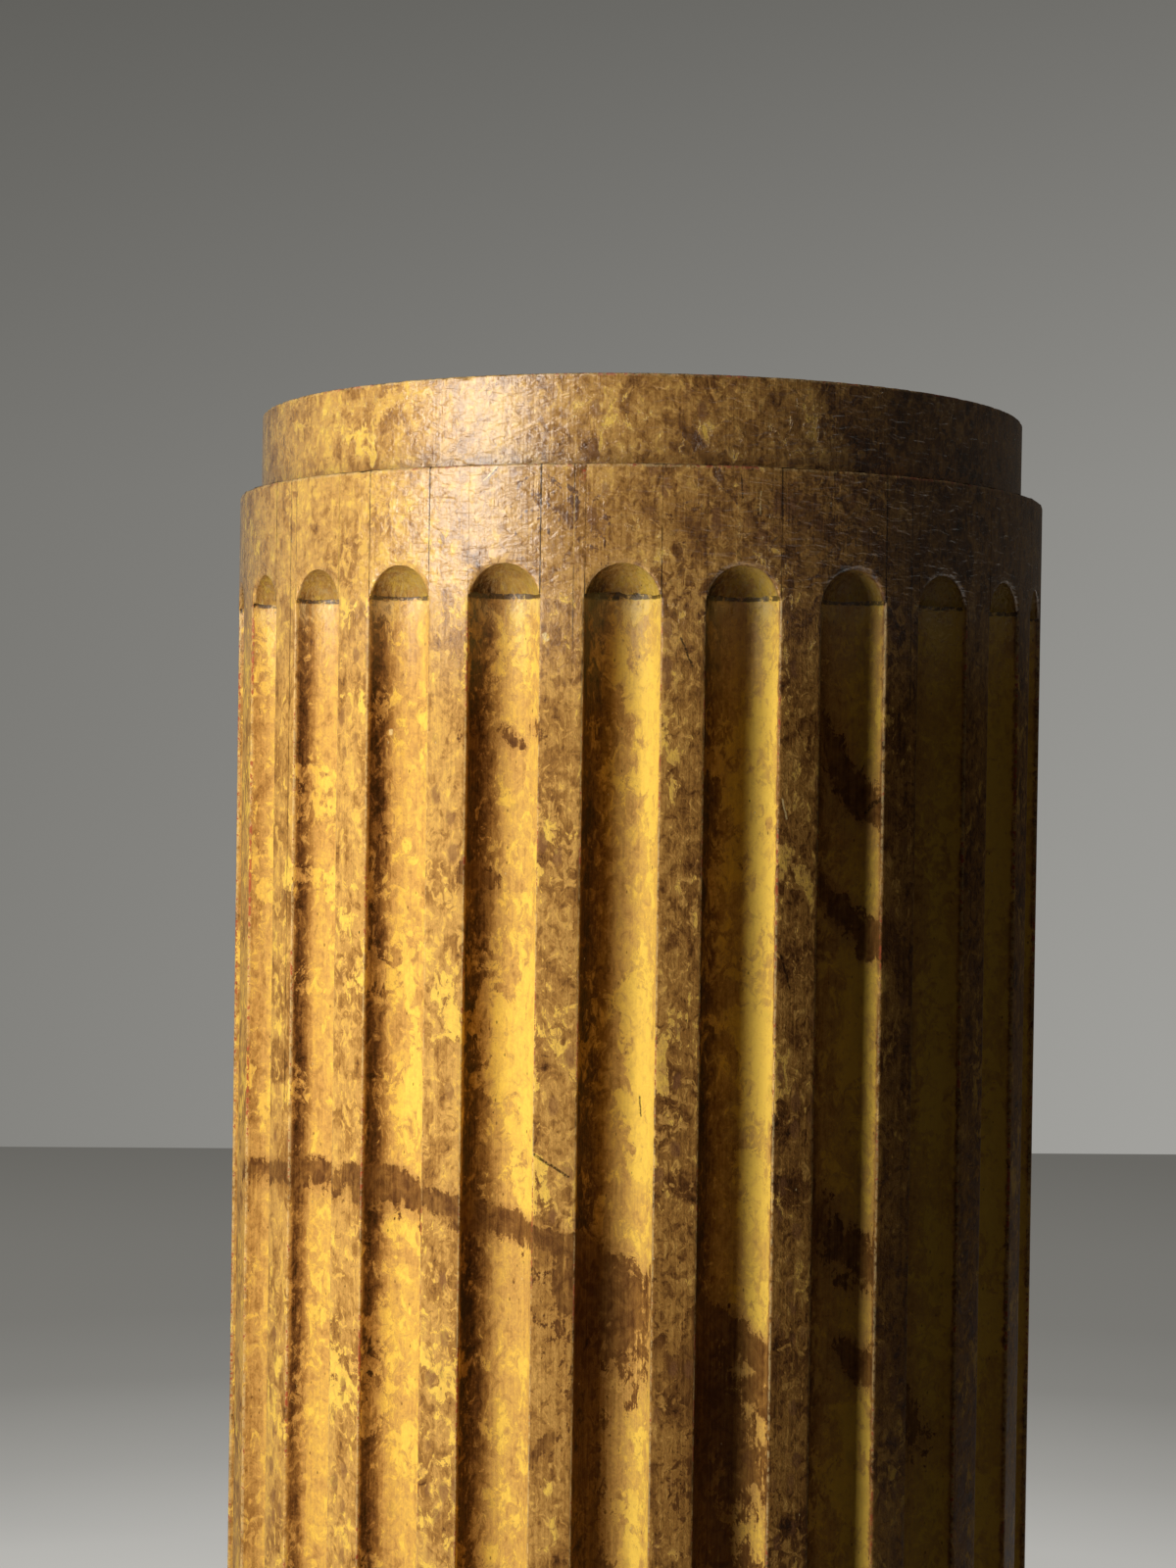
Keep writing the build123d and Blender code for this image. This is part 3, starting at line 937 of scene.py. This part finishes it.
def newMesh(name, places, edges, faces, amounts=None, directions=None):
    mesh = bpy.data.meshes.new(name)
    mesh.from_pydata([tuple(c * mm for c in place) for place in places], edges, faces)
    for label, values in (amounts or {}).items():
        writeAmounts(mesh, label, np.array(values, dtype=float))
    for label, values in (directions or {}).items():
        layer = mesh.attributes.new(label, "FLOAT_VECTOR", "POINT")
        layer.data.foreach_set("vector", np.array(values, dtype=np.float32).ravel())
    return mesh


# Staves

stave = {
    "nearSteps": (0.45, 1.1, 2.1),
    "fluteStep": 2.1,
    "skinStep": 2.3,
    "rowStep": 2.0,
    "lowRowStep": 4.6,
    "fineFrom": 545.0,
    # rows stand closer round the upper plugs' joints
    "closeRows": (908.0, 922.0),
    "closeStep": 1.0,
    "mitreRadii": (160, 145),
    "waviness": 0.28,
    "fluteWaviness": 0.5,
    "arrisWear": 0.22,
    "nickDepth": 1.1,
    "nickSize": 3.2,
}


# Distances from one end of a run to the other, close together near both of its ends
def gradedRun(length, step):
    start = list(stave["nearSteps"])
    middleCount = max(2, round((length - 2 * start[-1]) / step))
    middle = np.linspace(start[-1], length - start[-1], middleCount + 1)
    return [*start[:-1], *middle, *(length - d for d in reversed(start[:-1]))]


# The outline of the front-facing stave, looking down on it
def staveOutline():
    radius, flute = column["radius"], column["fluteRadius"]
    half = column["staveTurn"] / 2
    firstFlute = -(column["jointTurn"] + half)  # the front flute, seen from its stave's middle
    outline = []

    def put(turn, pointRadius, skin, worn=0.0, pull=(0.0, 0.0)):
        angle = math.radians(turn)
        outward = (math.sin(angle), -math.cos(angle))
        around = (math.cos(angle), math.sin(angle))
        pullX = -pull[0] * outward[0] + pull[1] * around[0]
        pullY = -pull[0] * outward[1] + pull[1] * around[1]
        outline.append((pointRadius * outward[0], pointRadius * outward[1], skin, worn, pullX, pullY))

    def skinRun(turnA, turnB):
        length = math.radians(turnB - turnA) * radius
        for distance in gradedRun(length, stave["skinStep"]):
            near = min(distance, length - distance)
            put(turnA + math.degrees(distance / radius), radius, 1.0, 0.22 if near < 0.5 else 0.0, (1, 0))

    put(-half, radius, 1.0, 0.15, (1, 0))
    start = -half
    for number in range(column["flutesEach"]):
        middle = firstFlute + number * column["flutePitch"]
        skinRun(start, middle - column["arrisTurn"])
        put(middle - column["arrisTurn"], radius, 1.0, 1.0, (0.7, -0.7))
        for distance in gradedRun(math.pi * flute, stave["fluteStep"]):
            swing = distance / flute
            sideways, depth = -flute * math.cos(swing), flute * math.sin(swing)
            pointRadius = math.hypot(column["fluteAxis"] - depth, sideways)
            turn = middle + math.degrees(math.atan2(sideways, column["fluteAxis"] - depth))
            near = min(distance, math.pi * flute - distance)
            put(turn, pointRadius, 0.0, 0.22 if near < 0.5 else 0.0, (0, -0.7 if sideways < 0 else 0.7))
        put(middle + column["arrisTurn"], radius, 1.0, 1.0, (0.7, 0.7))
        start = middle + column["arrisTurn"]
    skinRun(start, half)
    put(half, radius, 1.0, 0.15, (1, 0))
    innerRadius = column["innerFlat"] / math.cos(math.radians(half))
    quarterRadius = column["innerFlat"] / math.cos(math.radians(half / 2))
    inner = [*((half, mitreRadius) for mitreRadius in stave["mitreRadii"]), (half, innerRadius)]
    inner.append((half / 2, quarterRadius))
    mirrored = [(-turn, pointRadius) for turn, pointRadius in reversed(inner)]
    for turn, pointRadius in (*inner, (0, column["innerFlat"]), *mirrored):
        put(turn, pointRadius, -1.0)
    return outline


def staveRows():
    top, ease = column["shaftTop"], column["rimEase"]
    rows = [0.0, 0.12, 0.5, ease, 3.0]
    rows += list(np.arange(7.0, stave["fineFrom"], stave["lowRowStep"]))
    closeFrom, closeTo = stave["closeRows"]
    rows += list(np.arange(stave["fineFrom"], closeFrom, stave["rowStep"]))
    rows += list(np.arange(closeFrom, closeTo, stave["closeStep"]))
    rows += list(np.arange(closeTo, top - 3, stave["rowStep"]))
    rows += [top - 2.4, top - ease, top - 0.5, top - 0.12, top]
    return rows


# Sweeps the outline up the shaft, then planes, wears and nicks it
def staveTree():
    w, entry = newShapeTree("staveShape", (
        "Outline", "Turn", "Top", "Rim Ease", "Flute Waviness", "Arris Wear", "Nick Depth", "Nick Size",
        "Lower Joint", "Upper Joint",
    ))
    path = w.node("GeometryNodeMeshToCurve", {0: entry["Geometry"]}).outputs[0]
    outline = w.node("GeometryNodeObjectInfo", {"Object": entry["Outline"]}).outputs["Geometry"]
    profile = w.node("GeometryNodeMeshToCurve", {0: outline}).outputs[0]
    swept = w.node("GeometryNodeCurveToMesh", {"Curve": path, "Profile Curve": profile, "Fill Caps": True}).outputs[0]
    place = w.node("GeometryNodeInputPosition").outputs[0]
    x, y, z = w.node("ShaderNodeSeparateXYZ", {0: place}).outputs
    inward = w.vector("SCALE", w.vector("NORMALIZE", w.join(x, y, 0.0)), -1.0)
    skin, worn, pull = namedAmount(w, "skin"), namedAmount(w, "worn"), namedAmount(w, "pull", "FLOAT_VECTOR")
    onSkin = w.step(skin, 0.5, 0.9, "LINEAR")
    inFlute = w.less(w.step(skin, -0.9, -0.1, "LINEAR"), onSkin)
    seed = entry["Seed"]

    # planed skin, always inside the full radius
    broad = w.seeded(w.vector("MULTIPLY", place, (1, 1, 0.35)), 0.05, seed)
    ripple = w.seeded(w.vector("MULTIPLY", place, (1, 1, 0.4)), 0.009, w.add(seed, 3.0))
    skinPush = w.times(w.add(w.times(broad, 0.8), w.times(ripple, 0.25)), entry["Waviness"], onSkin)
    # hollows in the flutes, cut by hand
    scoop = w.seeded(w.vector("MULTIPLY", place, (1, 1, 0.5)), 0.018, w.add(seed, 7.0), 3.0)
    flutePush = w.times(w.less(scoop, 0.45), entry["Flute Waviness"], inFlute)
    # the rim's eased edge
    high = w.math("DIVIDE", w.less(z, w.less(entry["Top"], entry["Rim Ease"])), entry["Rim Ease"], clamp=True)
    low = w.math("DIVIDE", w.less(entry["Rim Ease"], z), entry["Rim Ease"], clamp=True)
    end = w.math("MAXIMUM", high, low)
    bow = w.less(1.0, w.math("SQRT", w.less(1.0, w.times(end, end))))
    chips = w.step(w.seeded(place, 0.004, w.add(seed, 5.0), 2.0), 0.56, 0.72)
    rimPush = w.times(w.add(bow, w.times(w.step(end, 0.0, 0.8), chips, 0.6)), entry["Rim Ease"], onSkin)
    offset = w.vector("SCALE", inward, w.add(skinPush, flutePush, rimPush))
    # worn and nicked arrises, nearly left alone where the plugs close the flutes
    free = w.times(
        w.step(z, w.add(entry["Upper Joint"], 0.001), w.less(entry["Upper Joint"], 0.002)),
        w.step(z, w.less(entry["Lower Joint"], 0.001), w.add(entry["Lower Joint"], 0.002)),
    )
    rub = w.seeded(w.vector("MULTIPLY", place, (1, 1, 0.3)), 0.014, w.add(seed, 9.0), 3.0, 0.6)
    nicks = w.seeded(w.vector("MULTIPLY", place, (1, 1, 0.7)), entry["Nick Size"], w.add(seed, 11.0), 2.0, 0.6)
    nick = w.times(w.math("POWER", w.step(nicks, 0.56, 0.86, "LINEAR"), 1.3), entry["Nick Depth"])
    wear = w.add(w.times(w.add(0.5, w.times(rub, 1.4)), entry["Arris Wear"]), nick)
    wear = w.times(wear, w.add(0.06, w.times(free, 0.94)), worn)
    offset = w.vector("ADD", offset, w.vector("SCALE", pull, wear))
    shaped = w.node("GeometryNodeSetPosition", {"Geometry": swept, "Offset": offset}).outputs[0]
    facing = w.join(0.0, 0.0, entry["Turn"])
    turned = w.node("GeometryNodeTransform", {"Geometry": shaped, "Rotation": facing}).outputs[0]
    endShapeTree(w, turned, entry["Material"])
    return w.tree


def makeStaves(material):
    outline = staveOutline()
    count = len(outline)
    outlineMesh = newMesh(
        "staveOutline", [(p[0], p[1], 0.0) for p in outline], [(k, (k + 1) % count) for k in range(count)], [],
        {"skin": [p[2] for p in outline], "worn": [p[3] for p in outline]},
        {"pull": [(p[4], p[5], 0.0) for p in outline]},
    )
    outlineHolder = addObject("staveOutline", outlineMesh)
    rows = staveRows()
    tree = staveTree()
    for number in range(column["staves"]):
        pathMesh = newMesh("stavePath", [(0.0, 0.0, z) for z in rows], [(k, k + 1) for k in range(len(rows) - 1)], [])
        turn = column["jointTurn"] + column["staveTurn"] * (number + 0.5)
        piece = growPiece(f"paintedStave{number + 1}", pathMesh, tree, {
            "Outline": outlineHolder, "Turn": math.radians(turn), "Seed": 10.0 + 4.7 * number,
            "Top": column["shaftTop"] * mm, "Rim Ease": column["rimEase"] * mm, "Waviness": stave["waviness"] * mm,
            "Flute Waviness": stave["fluteWaviness"] * mm, "Arris Wear": stave["arrisWear"] * mm,
            "Nick Depth": stave["nickDepth"] * mm, "Nick Size": stave["nickSize"] * mm,
            "Lower Joint": column["lowerJoint"] * mm, "Upper Joint": column["upperJoint"] * mm, "Material": material,
        })
        handOver(piece, f"stave_{number + 1}")
    bpy.data.objects.remove(outlineHolder)
    print("staves ready:", len(piece.data.polygons), "faces each")


# Plugs

plug = {
    "columns": 46,
    "domeRows": 18,
    "bandRows": 22,
    "waviness": 0.22,
    "domeWaviness": 0.5,
    "footChips": 0.8,
    "frontFootChips": 2.4,
    "lipWear": 0.8,
}


# One plug at the front of the column; direction is 1 for an upper plug and -1 for a lower one
def plugMesh(direction):
    radius, dome, back = column["radius"], column["domeRadius"], column["plugRadius"]
    axis, cut, ease = column["fluteAxis"], column["domeCutBack"], column["rimEase"]
    middle = column["upperDome"] if direction > 0 else column["lowerDome"]
    end = (column["shaftTop"] - middle) if direction > 0 else middle
    columns = plug["columns"]
    widest = math.acos(cut / dome)
    places, foot, lip, face = [], [], [], []

    def put(x, depth, rise, isFoot=0.0, isLip=0.0, isFace=0.0):
        places.append((x, -(axis - depth), middle + direction * rise))
        foot.append(isFoot * direction)
        lip.append(isLip)
        face.append(isFace)
        return len(places) - 1

    def putOnSkin(x, rise, isLip=0.0):
        eased = min(1.0, max(0.0, (rise - (end - ease)) / ease))
        depth = axis - math.sqrt(radius * radius - x * x) + ease * (1 - math.sqrt(1 - eased ** 2))
        return put(x, depth, rise, isLip=isLip, isFace=1.0)

    swings = [widest * math.sin(math.pi / 2 * (2 * k / (columns - 1) - 1)) for k in range(columns)]
    shares = [0.0, 0.03, *np.linspace(0.09, 0.92, plug["domeRows"] - 4), 0.965, 1.0]
    domeGrid, bandGrid = [], []
    for swing in swings:
        reach, x = dome * math.cos(swing), dome * math.sin(swing)
        lipSwing = math.asin(max(-1.0, (axis - math.sqrt(radius * radius - x * x)) / reach))
        footSwing = math.acos(min(1.0, cut / reach))
        domeColumn = []
        for share in shares:
            angle = lipSwing + (footSwing - lipSwing) * share
            rise = reach * math.cos(angle)
            isFoot = max(0.0, 1 - (rise - cut) / 3.5)
            domeColumn.append(put(x, reach * math.sin(angle), rise, isFoot, max(0.0, 1 - 7.5 * share)))
        domeGrid.append(domeColumn)
        lipRise = reach * math.cos(lipSwing)
        rises = [lipRise + 0.45, lipRise + 1.2, *np.linspace(lipRise + 2.6, end - 2.4, plug["bandRows"] - 7)]
        rises += [end - ease, end - 0.5, end - 0.12, end]
        softened = [0.55, 0.18, *[0.0] * (len(rises) - 2)]
        bandGrid.append([domeColumn[0], *(putOnSkin(x, rise, part) for rise, part in zip(rises, softened))])
    corners = []
    for side, band in ((-1, bandGrid[0]), (1, bandGrid[-1])):
        rises = [abs(places[index][2] - middle) for index in band[1:]]
        corners.append([put(side * back, 0.0, cut, 1.0), *(putOnSkin(side * back, rise) for rise in rises)])
    footRing, topRing = [corners[0][0]], [corners[0][-1]]
    for swing in swings[1:-1]:
        turn = math.asin(dome * math.sin(swing) / math.sqrt(dome * dome - cut * cut))
        x, depth = back * math.sin(turn), back * math.cos(turn)
        footRing.append(put(x, depth, cut, 1.0))
        topRing.append(put(x, depth, end))
    footRing.append(corners[1][0])
    topRing.append(corners[1][-1])

    faces = []
    for k in range(columns - 1):
        for grid in (domeGrid, bandGrid):
            for j in range(len(grid[k]) - 1):
                faces.append((grid[k][j], grid[k][j + 1], grid[k + 1][j + 1], grid[k + 1][j]))
        faces.append((domeGrid[k][-1], footRing[k], footRing[k + 1], domeGrid[k + 1][-1]))
    for corner, band in ((corners[0], bandGrid[0]), (corners[1], bandGrid[-1])):
        for j in range(len(band) - 1):
            faces.append((corner[j], band[j], band[j + 1], corner[j + 1]))
    for k in range(1, columns - 2):
        faces.append((footRing[k], topRing[k], topRing[k + 1], footRing[k + 1]))
    faces.append((*corners[0], topRing[1], footRing[1]))
    faces.append((*corners[1], topRing[-2], footRing[-2]))
    faces.append((*[band[-1] for band in bandGrid], *reversed(topRing)))
    return newMesh("plugBase", places, [], faces, {"foot": foot, "lip": lip, "face": face})


# Chips the plug's foot and lip, carves its dome, and turns it to its flute
def plugTree():
    w, entry = newShapeTree("plugShape", ("Turn", "Dome Waviness", "Foot Chips", "Lip Wear"))
    place = w.node("GeometryNodeInputPosition").outputs[0]
    x, y = w.node("ShaderNodeSeparateXYZ", {0: place}).outputs[:2]
    inward = w.vector("SCALE", w.vector("NORMALIZE", w.join(x, y, 0.0)), -1.0)
    foot, lip, face = (namedAmount(w, name) for name in ("foot", "lip", "face"))
    seed = entry["Seed"]
    broad = w.seeded(place, 0.03, seed)
    ripple = w.seeded(w.vector("MULTIPLY", place, (1, 1, 0.5)), 0.006, w.add(seed, 3.0))
    facePush = w.times(w.add(w.times(broad, 0.8), w.times(ripple, 0.3)), entry["Waviness"], face)
    carved = w.seeded(w.vector("MULTIPLY", place, (1, 1, 0.3)), 0.005, w.add(seed, 5.0), 3.0)
    dome = w.step(w.add(face, lip), 0.5, 0.0, "LINEAR")
    domePush = w.times(w.less(carved, 0.35), entry["Dome Waviness"], dome, 0.6)
    lipPush = w.times(lip, entry["Lip Wear"], w.add(0.35, broad))
    offset = w.vector("SCALE", inward, w.add(facePush, domePush, lipPush))
    # the foot is ragged, more so on one side
    flat = w.join(x, y, 0.0)
    teeth = w.seeded(flat, 0.0032, w.add(seed, 7.0), 3.0, 0.7)
    sweep = w.seeded(flat, 0.016, w.add(seed, 9.0), 1.0)
    ragged = w.step(w.add(w.times(sweep, 0.8), w.times(teeth, 0.5)), 0.52, 0.85, "LINEAR")
    ragged = w.add(w.times(ragged, entry["Foot Chips"]), w.times(teeth, 0.0011))
    offset = w.vector("ADD", offset, w.join(0.0, 0.0, w.times(foot, ragged)))
    shaped = w.node("GeometryNodeSetPosition", {"Geometry": entry["Geometry"], "Offset": offset}).outputs[0]
    facing = w.join(0.0, 0.0, entry["Turn"])
    turned = w.node("GeometryNodeTransform", {"Geometry": shaped, "Rotation": facing}).outputs[0]
    endShapeTree(w, turned, entry["Material"])
    return w.tree


def makePlugs(material):
    tree = plugTree()
    for label, direction in (("upper", 1), ("lower", -1)):
        for number in range(column["flutes"]):
            chips = plug["frontFootChips"] if label == "upper" and number == 0 else plug["footChips"]
            piece = growPiece(f"{label}PlugWorn{number + 1:02d}", plugMesh(direction), tree, {
                "Turn": math.radians(column["flutePitch"] * number), "Seed": 50.0 + 3.3 * number + 100 * direction,
                "Waviness": plug["waviness"] * mm, "Dome Waviness": plug["domeWaviness"] * mm,
                "Foot Chips": chips * mm, "Lip Wear": plug["lipWear"] * mm, "Material": material,
            }, 62)
            handOver(piece, f"{label}_plug_{number + 1:02d}")
    print("plugs ready:", len(piece.data.polygons), "faces each")


# Cap

cap = {
    "columns": 720,
    "rimRound": 0.8,
    "footEase": 0.8,
    "waviness": 0.35,
    "rimChips": 1.5,
    "screws": 4,
    "screwCircle": 92.0,
    "holeRadius": 5.1,
    "holeCore": 2.5,
    "holeRim": 1.5,
    "holeFoot": 4.4,
    "holeSides": 48,
}


# The cap as rings from the middle of its top to the middle of its underside
def capMesh():
    radius, top, foot = column["capRadius"], column["capTop"] - 0.02, column["shaftTop"]
    bend, ease, most = cap["rimRound"], cap["footEase"], cap["columns"]
    rings = [(6.0, top, most // 16), (12.0, top, most // 16), (20.0, top, most // 8), (30.0, top, most // 8)]
    rings += [(r, top, most // 4) for r in range(38, 70, 5)]
    rings += [(r, top, most // 2) for r in range(73, 146, 3)]
    rings += [(r, top, most) for r in (148.5, 151.0, 153.5, 155.5, 157.5, 159.0, radius - bend - 0.6)]
    corner = [math.pi / 2 * k / 3 for k in range(4)]
    rings += [(radius - bend * (1 - math.sin(s)), top - bend * (1 - math.cos(s)), most) for s in corner]
    rings += [(radius, z, most) for z in np.linspace(top - bend - 0.6, foot + ease + 0.4, 20)]
    rings += [(radius - ease * (1 - math.cos(s)), foot + ease * (1 - math.sin(s)), most) for s in corner]
    rings += [(r, foot, most // share) for r, share in ((155.0, 2), (130.0, 4), (90.0, 4), (60.0, 8), (25.0, 16))]
    places, faces, rim, starts = [], [], [], []
    for ringRadius, z, count in rings:
        starts.append(len(places))
        atRim = z >= top - bend - 0.1 and ringRadius >= radius - bend - 0.1
        for k in range(count):
            angle = 2 * math.pi * k / count
            places.append((ringRadius * math.cos(angle), ringRadius * math.sin(angle), z))
            rim.append(1.0 if atRim else 0.0)
    counts = [ring[2] for ring in rings]
    for a, b, countA, countB in zip(starts, starts[1:], counts, counts[1:]):
        if countA == countB:
            faces += [(a + k, b + k, b + (k + 1) % countB, a + (k + 1) % countA) for k in range(countA)]
            continue
        fine, coarse, many = (b, a, countB) if countB > countA else (a, b, countA)
        few = many // 2
        for k in range(few):
            left, mid, right = fine + 2 * k, fine + 2 * k + 1, fine + (2 * k + 2) % many
            inner, nextInner = coarse + k, coarse + (k + 1) % few
            faces += [(left, mid, inner), (mid, right, nextInner), (mid, nextInner, inner)]
    faces.append(tuple(range(starts[0], starts[0] + counts[0])))
    faces.append(tuple(range(starts[-1], starts[-1] + counts[-1])))
    return newMesh("capBase", places, [], faces, {"rim": rim})


def holeCutterMesh():
    top, foot = column["capTop"], column["shaftTop"]
    wide, core = cap["holeRadius"], cap["holeCore"]
    profile = [(wide, top + 2), (wide, top - cap["holeRim"]), (core, top - cap["holeFoot"]), (core, foot - 2)]
    sides = cap["holeSides"]
    angles = [2 * math.pi * k / sides for k in range(sides)]
    places = [(r * math.cos(a), r * math.sin(a), z) for r, z in profile for a in angles]
    faces = []
    for j in range(len(profile) - 1):
        a, b = sides * j, sides * (j + 1)
        faces += [(a + k, b + k, b + (k + 1) % sides, a + (k + 1) % sides) for k in range(sides)]
    faces.append(tuple(range(sides)))
    faces.append(tuple(reversed(range(sides * (len(profile) - 1), sides * len(profile)))))
    mesh = newMesh("holeCutter", places, [], faces)
    work = bmesh.new()
    work.from_mesh(mesh)
    bmesh.ops.recalc_face_normals(work, faces=work.faces)
    work.to_mesh(mesh)
    work.free()
    return mesh


# Warps and chips the cap, then sinks a ring of screw holes into it
def capTree():
    w, entry = newShapeTree("capShape", ("Cutter", "Screws", "Screw Circle", "Rim Chips"))
    place = w.node("GeometryNodeInputPosition").outputs[0]
    x, y = w.node("ShaderNodeSeparateXYZ", {0: place}).outputs[:2]
    inward = w.vector("SCALE", w.vector("NORMALIZE", w.join(x, y, 0.0)), -1.0)
    seed = entry["Seed"]
    broad = w.seeded(place, 0.05, seed)
    ripple = w.seeded(w.vector("MULTIPLY", place, (0.5, 0.5, 1)), 0.007, w.add(seed, 3.0))
    outer = w.step(w.vector("LENGTH", w.join(x, y, 0.0)), 0.1585, 0.1602)
    push = w.times(w.add(w.times(broad, 0.8), w.times(ripple, 0.3)), entry["Waviness"], outer)
    chips = w.seeded(w.vector("MULTIPLY", place, (1, 1, 0.6)), 0.0042, w.add(seed, 5.0), 3.0, 0.65)
    chip = w.times(w.math("POWER", w.step(chips, 0.5, 0.85, "LINEAR"), 1.2), entry["Rim Chips"], namedAmount(w, "rim"))
    offset = w.vector("ADD", w.vector("SCALE", inward, w.add(push, chip)), w.join(0.0, 0.0, w.times(chip, -0.9)))
    shaped = w.node("GeometryNodeSetPosition", {"Geometry": entry["Geometry"], "Offset": offset}).outputs[0]
    circle = w.node("GeometryNodeMeshCircle", {"Vertices": entry["Screws"], "Radius": entry["Screw Circle"]}).outputs[0]
    cutter = w.node("GeometryNodeObjectInfo", {"Object": entry["Cutter"]}).outputs["Geometry"]
    cutters = w.node("GeometryNodeInstanceOnPoints", {"Points": circle, "Instance": cutter}).outputs[0]
    cutters = w.node("GeometryNodeRealizeInstances", {0: cutters}).outputs[0]
    bored = w.node("GeometryNodeMeshBoolean", {"Mesh 1": shaped, "Mesh 2": cutters}, operation="DIFFERENCE").outputs[0]
    endShapeTree(w, bored, entry["Material"])
    return w.tree


def makeCap(material):
    cutter = addObject("holeCutter", holeCutterMesh())
    piece = growPiece("paintedCap", capMesh(), capTree(), {
        "Cutter": cutter, "Screws": cap["screws"], "Screw Circle": cap["screwCircle"] * mm, "Seed": 4.0,
        "Waviness": cap["waviness"] * mm, "Rim Chips": cap["rimChips"] * mm, "Material": material,
    })
    bpy.data.objects.remove(cutter)
    handOver(piece, "cap_disc")
    print("cap ready:", len(piece.data.polygons), "faces")


makeStudio()
makeStaves(marbledPaint("paintedWood", "wood"))
makePlugs(marbledPaint("paintedPlug", "plug"))
makeCap(marbledPaint("paintedCap", "cap"))
bare = bareWood("bareWood")
steel = wornSteel("wornSteel")
for name, material in (("upper_former", bare), ("lower_former", bare), ("cap_screws", steel)):
    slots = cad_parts[name].material_slots
    if not slots:
        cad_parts[name].data.materials.append(material)
    for slot in slots:
        slot.material = material
print("formers and screws ready")
